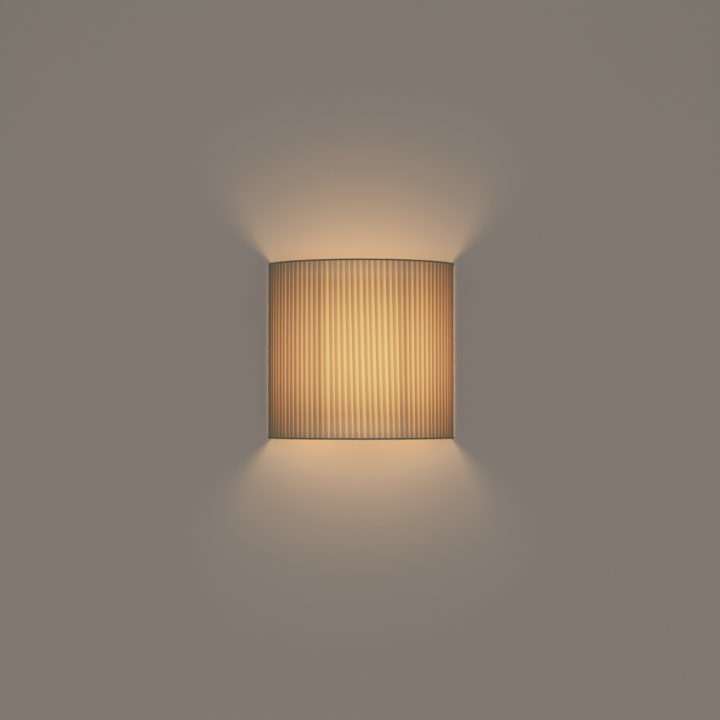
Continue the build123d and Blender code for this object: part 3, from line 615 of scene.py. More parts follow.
class WALLLIGHT_OT_cloth(Operator):
    """Make the pleated cloth of the shade"""

    bl_idname = "walllight.cloth"
    bl_label = "Pleated cloth"

    def execute(self, context):
        shade, glow = context.scene.shade_settings, context.scene.glow_settings
        circle = shade_circle(shade)
        low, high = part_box("shade_fabric")
        height = high.z - low.z
        material = pleated_cotton(shade)
        thing = grown("cloth", pleat_tree(), {
            "Pleats": shade.pleats, "Radius": circle[0], "Half Angle": circle[1],
            "Centre": circle[2], "Height": height, "Rise": shade.rise, "Lean": shade.lean,
            "Material": material,
        })
        layer = thing.modifiers.new("cloth", "SOLIDIFY")
        layer.thickness = shade.cloth
        layer.offset = -1.0
        mesh = plain_mesh(thing)
        glow_through(mesh, circle, glow, height)
        mesh.shade_smooth()
        mesh.set_sharp_from_angle(angle=CLOTH_CREASE)
        piece = new_piece("pleated_shade", mesh, "shade", material)
        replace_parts(piece, "shade_fabric")
        return {"FINISHED"}


# ---- hems, ribbons and stitches --------------------------------------------------------

HEM_CLOTH = 0.45 * MM  # two turned layers
HEM_CORNER = 0.4 * HEM_CLOTH
SIDE_HEM_WIDTH = 12 * MM
BAND_COLUMNS = 240
SIDE_COLUMNS = 12
CORNER_STEPS = 3

RIBBON_THICK = 0.4 * MM
RIBBON_FOLD = 5.55 * MM  # the outer to the inner face of the ribbon over the rim
RIBBON_BEND = 0.9 * RIBBON_THICK  # the fold over the rim is rounded by this much
RIBBON_ROUND = 0.3 * RIBBON_BEND
RIBBON_TOP = 0.6 * RIBBON_THICK  # this close to the rim, the fold is ribbed in height too
RIB_DEPTH = 0.12 * MM
RIB_STEPS = 4  # columns in one rib

STITCH_ROWS = (5.0 * MM, 8.0 * MM)  # above the lower rim
STITCH_MARGIN = 2 * MM  # from a row's end to the rear edge
STITCH_SEED = 5
STITCH_WANDER = (0.04, 0.0, 0.07)  # how far a stitch strays from the row's line
RAY_START = 4 * MM  # in front of the folds, from where each stitch is dropped on the cloth
RAY_LENGTH = 10 * MM


def rounded_band(inner, outer, low, high, corner):
    """Section of a cloth band with its corners rounded."""
    corners = [(inner, low, 180), (outer, low, 270), (outer, high, 0), (inner, high, 90)]
    section = []
    for radius, level, start in corners:
        centre_r = radius + (corner if radius == inner else -corner)
        centre_z = level + (corner if level == low else -corner)
        for step in range(CORNER_STEPS + 1):
            turn = math.radians(start + 90 / CORNER_STEPS * step)
            section.append((centre_r + corner * math.cos(turn), centre_z + corner * math.sin(turn)))
    return section


def outer_radius(node, circle):
    """Outer radius of a CAD band round the shade, from its box."""
    return circle[2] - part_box(node)[0].y


class WALLLIGHT_OT_hems(Operator):
    """Make the turned-in hems along the rims and the rear edges"""

    bl_idname = "walllight.hems"
    bl_label = "Hems"

    def execute(self, context):
        shade = context.scene.shade_settings
        circle = shade_circle(shade)
        material = hem_cotton(shade)
        outer = outer_radius("top_hem", circle)
        half = circle[1]
        width = SIDE_HEM_WIDTH / outer
        for name, node, start, end, columns in (
            ("turned_top_hem", "top_hem", -half, half, BAND_COLUMNS),
            ("turned_bottom_hem", "bottom_hem", -half, half, BAND_COLUMNS),
            ("turned_side_hem_left", "side_hems", -half, width - half, SIDE_COLUMNS),
            ("turned_side_hem_right", "side_hems", half - width, half, SIDE_COLUMNS),
        ):
            low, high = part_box(node)
            section = rounded_band(outer - HEM_CLOTH, outer, low.z, high.z, HEM_CORNER)
            mesh = strip_mesh(name, section, circle, (start, end), columns)
            glow_inside(mesh, circle, context.scene.glow_settings, HEM_INNER_SHARE)
            piece = new_piece(name, mesh, "shade", material)
            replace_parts(piece, node)
        return {"FINISHED"}


class WALLLIGHT_OT_ribbons(Operator):
    """Make the ribbed ribbons folded over both rims"""

    bl_idname = "walllight.ribbons"
    bl_label = "Rim ribbons"

    def execute(self, context):
        shade = context.scene.shade_settings
        circle = shade_circle(shade)
        material = grosgrain_ribbon(shade)
        outer = outer_radius("top_binding", circle)
        inner = circle[0] + shade.ribbon - RIBBON_FOLD
        middle = (inner + outer) / 2
        thick = RIBBON_THICK
        low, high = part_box("top_binding")
        leg = high.z - low.z
        columns = RIB_STEPS * round(2 * circle[1] * circle[0] / shade.rib)

        def ribbed(angle, radii, heights):
            """Ribs across the ribbon, which draw it in towards the middle of its fold."""
            wave = 1 - math.cos(angle * circle[0] / shade.rib * 2 * math.pi)
            sunk = RIB_DEPTH * wave
            at_rim = np.abs(heights) > CAD_BOX[1].z - RIBBON_TOP
            return radii - sunk * np.sign(radii - middle), heights - sunk * np.sign(heights) * at_rim

        for name, node, sign in (
            ("ribbon_top", "top_binding", 1), ("ribbon_bottom", "bottom_binding", -1)
        ):
            low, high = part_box(node)
            rim = high.z if sign > 0 else low.z
            foot = rim - sign * leg
            bent, rounded = rim - sign * RIBBON_BEND, rim - sign * RIBBON_ROUND
            section = [
                (outer, foot), (outer, bent), (outer - RIBBON_ROUND, rounded),
                (outer - RIBBON_BEND, rim), (inner + RIBBON_BEND, rim),
                (inner + RIBBON_ROUND, rounded), (inner, bent), (inner, foot),
                (inner + thick, foot), (inner + thick, rim - sign * thick),
                (outer - thick, rim - sign * thick), (outer - thick, foot),
            ]
            mesh = strip_mesh(name, section, circle, (-circle[1], circle[1]), columns, ribbed)
            piece = new_piece(name, mesh, "shade", material)
            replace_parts(piece, node)
        return {"FINISHED"}


def stitch_tree():
    """Node tree of a row of stitches laid on the pleated cloth."""
    tree, given = shape_tree("stitch row", [
        ("Cloth", "Object", None), ("Stitches", "Int", 114), ("Radius", "Float", 0.136),
        ("Half Angle", "Float", 1.25), ("Centre", "Float", 0.0385),
        ("Height", "Float", -0.117), ("Length", "Float", 2.0 * MM),
        ("Thread", "Float", 0.16 * MM), ("Seed", "Int", STITCH_SEED),
        ("Material", "Material", None),
    ])
    node = partial(add, tree)

    # points spaced evenly round the shade, each with its outward direction
    row = node("GeometryNodeMeshLine", {"Count": given["Stitches"]})
    last = node(MATHS, given["Stitches"], 1, operation="SUBTRACT")
    share = node(MATHS, node("GeometryNodeInputIndex"), last, operation="DIVIDE")
    doubled = node(MATHS, share, 2, operation="MULTIPLY")
    either_way = node(MATHS, doubled, 1, operation="SUBTRACT")
    angle = node(MATHS, either_way, given["Half Angle"], operation="MULTIPLY")
    cosine = node(MATHS, angle, operation="COSINE")
    outwards = node(
        JOIN, node(MATHS, angle, operation="SINE"),
        node(MATHS, cosine, -1, operation="MULTIPLY"), 0.0)
    inwards = node(VECTOR_MATHS, outwards, (-1, -1, -1), operation="MULTIPLY")

    # each point is dropped on the cloth from just in front of it
    centre = node(JOIN, 0.0, given["Centre"], given["Height"])
    clear = node(MATHS, given["Radius"], RAY_START, operation="ADD")
    reach = node(VECTOR_MATHS, {0: outwards, "Scale": clear}, operation="SCALE")
    start = node(VECTOR_MATHS, centre, reach, operation="ADD")
    laid = node("GeometryNodeObjectInfo", {"Object": given["Cloth"]})
    hit = node("GeometryNodeRaycast", {
        "Target Geometry": laid.outputs["Geometry"], "Source Position": start,
        "Ray Direction": inwards, "Ray Length": RAY_LENGTH,
    })
    placed = node("GeometryNodeSetPosition", {
        "Geometry": row, "Position": hit.outputs["Hit Position"],
    })

    # a stitch lies along the row and strays from it a little
    wander = node("FunctionNodeRandomValue", {
        "Min": [-w for w in STITCH_WANDER], "Max": STITCH_WANDER, "Seed": given["Seed"],
    }, data_type="FLOAT_VECTOR")
    along = node(
        VECTOR_MATHS, (0, 0, 1), hit.outputs["Hit Normal"], operation="CROSS_PRODUCT")
    tangent = node(VECTOR_MATHS, along, wander, operation="ADD")
    turned = node("FunctionNodeAlignRotationToVector", {"Vector": tangent}, axis="X")
    thread = node("GeometryNodeMeshUVSphere", {"Segments": 6, "Rings": 5, "Radius": 1.0})
    half_length = node(MATHS, given["Length"], 2, operation="DIVIDE")
    measure = node(JOIN, half_length, given["Thread"], given["Thread"])
    stitches = node("GeometryNodeInstanceOnPoints", {
        "Points": placed, "Instance": thread.outputs["Mesh"], "Rotation": turned,
        "Scale": measure, "Selection": hit.outputs["Is Hit"],
    })
    finish_tree(tree, stitches, given["Material"])
    return tree


class WALLLIGHT_OT_stitches(Operator):
    bl_idname = "walllight.stitches"
    bl_label = "Hem stitches"

    def execute(self, context):
        shade = context.scene.shade_settings
        circle = shade_circle(shade)
        cloth = bpy.data.objects["pleated_shade"]
        material = sewing_thread(shade)
        tree = stitch_tree()
        half = circle[1] - STITCH_MARGIN / circle[0]
        for row, above in enumerate(STITCH_ROWS):
            thing = grown("row", tree, {
                "Cloth": cloth, "Radius": circle[0], "Half Angle": half, "Centre": circle[2],
                "Height": above - CAD_BOX[1].z, "Length": shade.stitch,
                "Stitches": round(2 * half * circle[0] / shade.stitch_pitch),
                "Seed": STITCH_SEED + row, "Material": material,
            })
            mesh = plain_mesh(thing)
            mesh.shade_smooth()
            new_piece(f"stitches_{row + 1}", mesh, "shade", material)
        return {"FINISHED"}


# ---- bulb and threads ------------------------------------------------------------------

THREAD_ROWS = 64
THREAD_SEGMENTS = 96

CAP_WALL = 0.5 * MM
CAP_SHOULDER = 2.3 * MM  # foot of the cap to the start of its thread
CAP_PLAIN = 1.5 * MM  # plain band above the thread
CAP_FADE = 3 * MM  # over which the thread grows to its full depth
CAP_MOUTH = 3.1 * MM  # how far the rim round the black glass lies inside the crests
CAP_BEND_OUT = 1.7 * MM  # the same for the outside of the bend at the foot
CAP_BEND_IN = 1.95 * MM  # the same for the inside of that bend

SLEEVE_WALL = 0.6 * MM
SLEEVE_DEPTH = 0.55 * MM
SLEEVE_FADE = 2 * MM
SLEEVE_PLAIN = (1.0 * MM, 0.8 * MM)  # plain bands below and above the thread

TUBE_BORE = 3.6 * MM
TUBE_DEPTH = 0.35 * MM
TUBE_FADE = 0.8 * MM
TUBE_ROWS = 76
TUBE_SEGMENTS = 64

GLOBE_STEPS = 40
GLOBE_SEGMENTS = 72


def helix(pitch, depth, low, high, fade):
    """A thread's radius about its crest by angle and height, faded out at both ends."""

    def thread(angle, heights):
        wave = 0.5 * (1 - np.cos(2 * math.pi * heights / pitch - angle))
        ends = smooth(heights, low, low + fade) * smooth(-heights, -high, fade - high)
        return -depth * wave * ends

    return thread


def tube_outline(inner, outer, low, high):
    """Outer wall from foot to top and inner wall back again."""
    levels = np.linspace(low, high, THREAD_ROWS)
    return [(outer, z) for z in levels] + [(inner, z) for z in levels[::-1]]


class WALLLIGHT_OT_threads(Operator):
    """Make the threaded bulb cap, the lampholder's threaded sleeve and the threaded tube"""

    bl_idname = "walllight.threads"
    bl_label = "Threads"

    def execute(self, context):
        lamp = context.scene.lamp_settings

        def turned(name, node, body, slot, outline, segments, thread):
            """Make one threaded piece in the place of a CAD node."""
            mesh = turned_mesh(name, outline, segments, thread)
            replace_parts(new_piece(name, mesh, body, finish(slot)), node)

        low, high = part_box("bulb_cap")
        crest = (high.x - low.x) / 2
        shoulder = low.z + CAP_SHOULDER
        thread = helix(
            lamp.thread_pitch, lamp.thread_depth, shoulder, high.z - CAP_PLAIN, CAP_FADE)
        outline = [
            (crest - CAP_MOUTH, low.z), (crest - CAP_BEND_OUT, low.z),
            *tube_outline(crest - CAP_WALL, crest, shoulder, high.z),
            (crest - CAP_BEND_IN, low.z + CAP_WALL), (crest - CAP_MOUTH, low.z + CAP_WALL),
        ]
        turned(
            "threaded_bulb_cap", "bulb_cap", "bulb", "bulb_metal", outline, THREAD_SEGMENTS, thread)

        low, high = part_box("threaded_sleeve")
        outer = (high.x - low.x) / 2
        below, above = SLEEVE_PLAIN
        thread = helix(
            lamp.thread_pitch, SLEEVE_DEPTH, low.z + below, high.z - above, SLEEVE_FADE)
        outline = tube_outline(outer - SLEEVE_WALL, outer, low.z, high.z)
        turned(
            "threaded_lamp_sleeve", "threaded_sleeve", "wall_unit", "brass", outline,
            THREAD_SEGMENTS, thread)

        low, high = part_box("nipple")
        outer = (high.x - low.x) / 2
        fine = helix(lamp.tube_pitch, TUBE_DEPTH, low.z, high.z, TUBE_FADE)
        levels = np.linspace(low.z, high.z, TUBE_ROWS)
        outline = [(outer, z) for z in levels] + [(TUBE_BORE, high.z), (TUBE_BORE, low.z)]

        def outside_only(angle, heights):
            """The fine thread on the tube's outer wall, and none in its bore."""
            cut = fine(angle, heights)
            cut[TUBE_ROWS:] = 0
            return cut

        turned(
            "threaded_tube", "nipple", "wall_unit", "brass", outline, TUBE_SEGMENTS, outside_only)
        return {"FINISHED"}


class WALLLIGHT_OT_globe(Operator):
    """Make the bulb's opal globe"""

    bl_idname = "walllight.globe"
    bl_label = "Opal globe"

    def execute(self, context):
        lamp = context.scene.lamp_settings
        low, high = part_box("bulb_globe")
        radius = (high.x - low.x) / 2
        middle = high.z - radius
        inner = radius - lamp.globe_wall

        def arc(size_of, start, end):
            """Points round the globe's middle, from one angle to the other."""
            turns = np.linspace(start, end, GLOBE_STEPS)
            return [(size_of * math.cos(t), middle + size_of * math.sin(t)) for t in turns]

        mouth = math.asin((low.z - middle) / radius)
        inner_mouth = math.asin((low.z - middle) / inner)
        outline = arc(radius, mouth, math.pi / 2) + arc(inner, math.pi / 2, inner_mouth)
        mesh = turned_mesh("globe", outline, GLOBE_SEGMENTS)
        piece = new_piece("opal_globe", mesh, "bulb", opal_plastic(lamp))
        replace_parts(piece, "bulb_globe")
        return {"FINISHED"}


# ---- materials -------------------------------------------------------------------------


def new_material(name):
    """An empty node material, its tree and its shader."""
    material = bpy.data.materials.new(name)
    material.use_nodes = True
    material.cycles.emission_sampling = "NONE"
    return material, material.node_tree, material.node_tree.nodes["Principled BSDF"]


def set_inputs(shader, **values):
    """Set constant inputs of a shader by name, with _ for a blank."""
    for name, value in values.items():
        shader.inputs[name.replace("_", " ")].default_value = value


def cloth_weave(tree, place, thread):
    """Height of a plain weave: two sets of threads that pass over and under."""
    spacing = add(tree, VECTOR_MATHS, {0: place, "Scale": math.pi / thread}, operation="SCALE")
    split = add(tree, SPLIT, spacing)
    warp = add(tree, MATHS, split.outputs["X"], operation="SINE")
    weft = add(tree, MATHS, split.outputs["Y"], operation="SINE")
    crossing = add(tree, MATHS, warp, weft, operation="MULTIPLY")
    return add(tree, MATHS, crossing, 0.5, 0.5, operation="MULTIPLY_ADD")


def tint_by(tree, socket, tint, pattern, darker, lighter):
    """Run a colour input between a darker and a lighter share of its tint over a pattern."""
    low = [c * darker for c in tint] + [1.0]
    high = [min(c * lighter, 1.0) for c in tint] + [1.0]
    mixed = add(tree, BLEND, {0: pattern, 6: low, 7: high}, data_type="RGBA")
    tree.links.new(mixed.outputs[2], socket)


def rough_by(tree, shader, pattern, roughness, spread):
    """Let the roughness differ a little over a pattern."""
    rough = add(tree, RESCALE, {
        "Value": pattern, "To Min": roughness - spread, "To Max": roughness + spread})
    tree.links.new(rough.outputs[0], shader.inputs["Roughness"])


def relief_by(tree, shader, pattern, depth, strength=1.0):
    """Give a shader relief from a pattern that runs from 0 to 1."""
    bump = add(
        tree, "ShaderNodeBump", {"Height": pattern, "Distance": depth, "Strength": strength})
    tree.links.new(bump.outputs[0], shader.inputs["Normal"])


def cotton(name, tint, pleated):
    """Plain-weave cotton: matt, with slubs, a soft sheen, a fine weave and lamplight in it."""
    material, tree, shader = new_material(name)
    if pleated:
        place = add(tree, "ShaderNodeAttribute", attribute_name="cloth_place").outputs["Vector"]
    else:
        place = add(tree, "ShaderNodeTexCoord").outputs["Object"]
    weave = cloth_weave(tree, place, 0.7 * MM)  # twice the real spacing, so that it shows
    slubs = add(tree, NOISE, {"Vector": place, "Scale": 1 / (3.0 * MM), "Detail": 3.0})
    tone = add(tree, MATHS, weave, 0.4, slubs, operation="MULTIPLY_ADD")
    tint_by(tree, shader.inputs["Base Color"], tint, tone, 0.86, 1.10)
    set_inputs(
        shader, Roughness=0.92, IOR=1.47, Sheen_Weight=0.04, Sheen_Roughness=0.5,
        Specular_IOR_Level=0.15, Emission_Strength=1.0)
    relief_by(tree, shader, weave, 0.05 * MM, 0.6)
    light = add(tree, "ShaderNodeAttribute", attribute_name="glow").outputs["Color"]
    share = add(tree, RESCALE, {"Value": tone, "To Min": 0.93, "To Max": 1.05})
    seen = add(tree, VECTOR_MATHS, {0: light, "Scale": share}, operation="SCALE")
    tree.links.new(seen.outputs[0], shader.inputs["Emission Color"])
    return material


def pleated_cotton(shade):
    """The shade's face: cotton that looks brown where no lamplight comes through, its colour darkened
    as painted shade.
    """
    return cotton("pleated cotton", shade.shaded_cloth_colour, True)


def hem_cotton(shade):
    """The same cotton, with the same painted shade in its colour, turned in behind the rims."""
    return cotton("hem cotton", shade.shaded_cloth_colour, False)


def sewing_thread(shade):
    """Twisted polyester thread: slightly shiny, and paler than the cloth."""
    material, tree, shader = new_material("sewing thread")
    place = add(tree, "ShaderNodeTexCoord").outputs["Object"]
    # paler than the cloth's colour, which carries painted shade
    tint = [c * 1.25 for c in shade.shaded_cloth_colour]
    twist = add(tree, NOISE, {"Vector": place, "Scale": 1 / (0.3 * MM), "Detail": 3.0})
    tint_by(tree, shader.inputs["Base Color"], tint, twist, 0.8, 1.15)
    set_inputs(shader, Roughness=0.6, IOR=1.5, Sheen_Weight=0.2)
    return material


def grosgrain_ribbon(shade):
    """Grosgrain ribbon: matt, with close ribs across it that catch the light."""
    material, tree, shader = new_material("grosgrain ribbon")
    place = add(tree, "ShaderNodeTexCoord").outputs["Object"]
    threads = add(tree, NOISE, {"Vector": place, "Scale": 1 / (0.8 * MM), "Detail": 4.0})
    tint_by(tree, shader.inputs["Base Color"], shade.ribbon_colour, threads, 0.8, 1.15)
    set_inputs(shader, Roughness=0.85, IOR=1.5, Sheen_Weight=0.15)
    relief_by(tree, shader, threads, 0.08 * MM, 0.7)
    return material


def opal_plastic(lamp):
    """Opal polycarbonate lit from inside: milky, even and slightly glossy."""
    material, tree, shader = new_material("opal plastic")
    place = add(tree, "ShaderNodeTexCoord").outputs["Object"]
    milk = add(tree, NOISE, {"Vector": place, "Scale": 1 / (12 * MM), "Detail": 3.0})
    tint_by(tree, shader.inputs["Base Color"], hex_colour("#D8D0BE"), milk, 0.97, 1.02)
    tint_by(tree, shader.inputs["Emission Color"], lamp.glow, milk, 0.96, 1.04)
    set_inputs(shader, Roughness=0.3, IOR=1.58, Emission_Strength=0.8)
    relief_by(tree, shader, milk, 0.01 * MM)
    return material


def moulded(name, code, roughness, grain, relief, **constants):
    """A plain moulded or coated surface with a slight grain and tone variation."""
    material, tree, shader = new_material(name)
    place = add(tree, "ShaderNodeTexCoord").outputs["Object"]
    cloud = add(tree, NOISE, {"Vector": place, "Scale": 1 / (14 * MM), "Detail": 2.0})
    fine = add(tree, NOISE, {"Vector": place, "Scale": 1 / grain, "Detail": 2.0})
    tint_by(tree, shader.inputs["Base Color"], hex_colour(code), cloud, 0.97, 1.02)
    rough_by(tree, shader, cloud, roughness, 0.06)
    relief_by(tree, shader, fine, relief)
    set_inputs(shader, **constants)
    return material


def striped(name, code, stripe_code):
    """An extruded sleeve with a stripe of another colour down its length."""
    material, tree, shader = new_material(name)
    place = add(tree, "ShaderNodeTexCoord").outputs["Object"]
    split = add(tree, SPLIT, place)
    stripe = add(tree, RESCALE, {
        "Value": split.outputs["X"], "From Min": -0.05 * MM, "From Max": 0.05 * MM})
    tint = add(tree, BLEND, {
        0: stripe, 6: hex_colour(code) + [1.0], 7: hex_colour(stripe_code) + [1.0],
    }, data_type="RGBA")
    tree.links.new(tint.outputs[2], shader.inputs["Base Color"])
    fine = add(tree, NOISE, {"Vector": place, "Scale": 1 / (1.0 * MM), "Detail": 3.0})
    relief_by(tree, shader, fine, 0.01 * MM)
    set_inputs(shader, Roughness=0.4, IOR=1.53)
    return material


def metal(name, code, roughness, grain, relief, stretch=(1, 1, 1)):
    """Bare or plated metal with fine marks, stretched along the way it was worked."""
    material, tree, shader = new_material(name)
    place = add(tree, "ShaderNodeTexCoord").outputs["Object"]
    worked = add(tree, "ShaderNodeMapping", {"Vector": place, "Scale": stretch})
    marks = add(tree, NOISE, {"Vector": worked, "Scale": 1 / grain, "Detail": 4.0})
    tint_by(tree, shader.inputs["Base Color"], hex_colour(code), marks, 0.9, 1.06)
    rough_by(tree, shader, marks, roughness, 0.08)
    relief_by(tree, shader, marks, relief)
    set_inputs(shader, Metallic=1.0)
    return material


# The finish of each material slot: its maker, name, sRGB colour, roughness, size of its
# grain and depth of its relief in metres, and what else differs.
FINISHES = {
    # baked powder coat on sheet steel: satin, with a slight orange peel
    "white_enamel": (
        moulded, "white enamel", "#ECE9E2", 0.38, 1.2 * MM, 0.03 * MM,
        {"IOR": 1.5, "Coat_Weight": 0.1}),
    # plastic-dipped steel wire: smooth and satin
    "coated_wire": (moulded, "coated wire", "#E6E3DA", 0.42, 0.9 * MM, 0.02 * MM, {"IOR": 1.5}),
    # milky silicone: soft edges of light, no gloss
    "bumper_rubber": (
        moulded, "silicone rubber", "#D9D8D2", 0.62, 0.6 * MM, 0.02 * MM,
        {"IOR": 1.41, "Subsurface_Weight": 0.3, "Subsurface_Scale": 2 * MM}),
    # moulded EPDM rubber: dull black with a greyish bloom
    "grommet_rubber": (
        moulded, "black rubber", "#232323", 0.7, 0.5 * MM, 0.03 * MM, {"IOR": 1.52}),
    # moulded nylon: off-white and faintly waxy
    "block_plastic": (
        moulded, "natural nylon", "#E5E2D4", 0.48, 0.8 * MM, 0.02 * MM,
        {"IOR": 1.53, "Subsurface_Weight": 0.15, "Subsurface_Scale": 1.5 * MM}),
    # ABS with a fine spark-eroded texture: even, low gloss
    "cover_plastic": (moulded, "white abs", "#ECEAE4", 0.5, 0.35 * MM, 0.02 * MM, {"IOR": 1.54}),
    # melamine moulding: hard, smooth and a little glossy
    "holder_plastic": (
        moulded, "white melamine", "#E9E6DC", 0.28, 2.0 * MM, 0.015 * MM, {"IOR": 1.58}),
    # the bulb's collar in PBT: smooth satin
    "bulb_plastic": (moulded, "white pbt", "#EFEFEA", 0.36, 0.8 * MM, 0.01 * MM, {"IOR": 1.55}),
    # pressed and fired steatite with a thin glaze
    "porcelain": (
        moulded, "steatite", "#EDEAE0", 0.22, 1.6 * MM, 0.03 * MM,
        {"IOR": 1.6, "Coat_Weight": 0.4, "Coat_Roughness": 0.1}),
    # black glass between the bulb's cap and its tip: deep and glossy
    "black_glass": (moulded, "black glass", "#15151A", 0.12, 3.0 * MM, 0.02 * MM, {"IOR": 1.6}),
    # white solder resist over copper tracks, which show as faint raised lines
    "circuit_board": (
        moulded, "circuit board", "#E4E7E0", 0.4, 1.4 * MM, 0.05 * MM, {"IOR": 1.5}),
    # extruded PVC: smooth satin, and the earth wire's green with a yellow stripe
    "live_sleeve": (moulded, "brown sleeve", "#5A3A26", 0.4, 1.0 * MM, 0.01 * MM, {"IOR": 1.53}),
    "neutral_sleeve": (moulded, "blue sleeve", "#2C5FA8", 0.4, 1.0 * MM, 0.01 * MM, {"IOR": 1.53}),
    "earth_sleeve": (striped, "earth sleeve", "#3F8F3A", "#E0C32A", {}),
    # zinc-plated steel: cool grey with a patchy satin shine
    "zinc_steel": (metal, "zinc plate", "#B9BABA", 0.34, 2.5 * MM, 0.02 * MM, {}),
    # turned brass: warm, with fine rings from the lathe
    "brass": (
        metal, "turned brass", "#C9A557", 0.27, 2.0 * MM, 0.015 * MM, {"stretch": (1, 1, 8)}),
    # nickel-plated cap: bright, with rolling marks round it
    "bulb_metal": (
        metal, "nickel plate", "#CBC7BE", 0.22, 2.0 * MM, 0.01 * MM, {"stretch": (1, 1, 6)}),
}


def finish(slot):
    """The finish of a material slot, made on its first use."""
    make, name, *values, more = FINISHES[slot]
    return bpy.data.materials.get(name) or make(name, *values, **more)


class WALLLIGHT_OT_finishes(Operator):
    """Give every CAD piece that shows the finish of its material slot"""

    bl_idname = "walllight.finishes"
    bl_label = "Finishes"

    def execute(self, context):
        for part in frame["record"]["subparts"]:
            node = frame["nodes"][part["node"]]
            if not node.hide_render:
                for slot in node.material_slots:
                    slot.material = finish(part["material_slot"])
        return {"FINISHED"}


# ---- stage -----------------------------------------------------------------------------

BACKDROP_REACH = 3.0
FLOOR_HEIGHT = -1.35
WALL_DEPTH = 0.3 * MM  # the wall's face lies this far behind the light's back

AMBIENT_TINT = (1.0, 0.98, 0.96, 1.0)
AMBIENT_STRENGTH = 0.3
BACKDROP_COLOUR = "#E4E1DB"

# The softboxes: name, power in watts, width and place in metres, and what each one lights
SOFTBOXES = (
    ("wall softbox", 78.0, 2.2, (0.0, -3.2, 0.25), "wall"),
    ("front softbox", 45.0, 2.2, (0.0, -3.2, 0.25), "pieces"),
    ("rear softbox", 52.0, 2.4, (-0.9, 2.8, 1.3), "pieces"),
    ("floor softbox", 250.0, 5.0, (0.0, 0.0, 3.0), "floor"),
)

WALL_GLOW_WIDTH = 90 * MM
WALL_GLOW_HEIGHT = 3 * MM
# Light that the lit cloth inside the rims throws on the wall: power, and place of its middle
RIM_GLOWS = (
    (160.0, (-0.080, -0.045, -0.088)), (130.0, (0.078, -0.045, -0.088)),
    (28.0, (-0.072, -0.045, 0.095)), (24.0, (0.072, -0.045, 0.095)),
)
RIM_WIDTH = 40 * MM
RIM_REACH = 55 * MM
INNER_WIDTH = 48 * MM
INNER_SMOOTH = 0.02  # keeps the fitting next to the globe from burning out

CAMERA_ASIDE = -0.0018
CAMERA_HEIGHT = -0.0730
CAMERA_TILT = 1.242  # degrees up
SENSOR_WIDTH = 36.0


def stage_plane(name, corners, material):
    """A flat backdrop from four corners, facing the side they turn anticlockwise on."""
    mesh = bpy.data.meshes.new(name)
    mesh.from_pydata(corners, [], [(0, 1, 2, 3)])
    mesh.materials.append(material)
    plane = bpy.data.objects.new(name, mesh)
    bpy.context.scene.collection.objects.link(plane)
    return plane


def painted(name, tint, grain, evenness, roughness):
    """An even painted surface, a little cloudy over patches of one grain, in metres."""
    material, tree, shader = new_material(name)
    place = add(tree, "ShaderNodeTexCoord").outputs["Object"]
    cloud = add(tree, NOISE, {"Vector": place, "Scale": 1 / grain, "Detail": 2.0})
    tint_by(tree, shader.inputs["Base Color"], tint, cloud, *evenness)
    set_inputs(shader, Roughness=roughness)
    return material, tree, shader


def plaster(stage):
    """Painted plaster that is seen from the front only, so that the back stays open to view."""
    material, tree, shader = painted("wall plaster", stage.wall, 0.25, (0.985, 1.015), 0.9)
    set_inputs(shader, Specular_IOR_Level=0.1)
    clear = add(tree, "ShaderNodeBsdfTransparent")
    behind = add(tree, "ShaderNodeNewGeometry").outputs["Backfacing"]
    shown = add(tree, "ShaderNodeMixShader", behind, shader, clear)
    tree.links.new(shown.outputs[0], tree.nodes["Material Output"].inputs["Surface"])
    return material


def limit(light, role, things):
    """Let a light reach, or be shaded by, the given things only."""
    group = bpy.data.collections.new(f"{light.name} {role}s")
    for thing in things:
        group.objects.link(thing)
    setattr(light.light_linking, role + "_collection", group)


def area_light(name, power, width, place, receivers):
    """A soft square light that looks at the origin and lights given things only."""
    data = bpy.data.lights.new(name, "AREA")
    data.energy = power
    data.size = width
    light = bpy.data.objects.new(name, data)
    light.location = place
    light.rotation_euler = (-Vector(place)).to_track_quat("-Z", "Y").to_euler()
    light.visible_camera = False
    bpy.context.scene.collection.objects.link(light)
    limit(light, "receiver", receivers)


def lamp(name, power, tint, place, width, receivers, blockers):
    """A round light that lights and is shaded by given things only."""
    data = bpy.data.lights.new(name, "POINT")
    data.energy = power
    data.shadow_soft_size = width / 2
    data.use_soft_falloff = False
    data.color = tint
    data.use_nodes = True
    light = bpy.data.objects.new(name, data)
    light.location = place
    light.visible_camera = False
    light.visible_glossy = False
    bpy.context.scene.collection.objects.link(light)
    limit(light, "receiver", receivers)
    limit(light, "blocker", blockers)
    return light


def fade_out(light, carries):
    """Let a light fade as a bell curve does with the distance that it has travelled."""
    tree = light.data.node_tree
    travelled = add(tree, "ShaderNodeLightPath").outputs["Ray Length"]
    reach = add(tree, MATHS, travelled, carries, operation="DIVIDE")
    square = add(tree, MATHS, reach, reach, operation="MULTIPLY")
    faded = add(tree, MATHS, square, -1.0, operation="MULTIPLY")
    share = add(tree, MATHS, faded, operation="EXPONENT")
    even = add(tree, "ShaderNodeLightFalloff", {"Strength": share})
    tree.links.new(even.outputs["Constant"], tree.nodes["Emission"].inputs["Strength"])


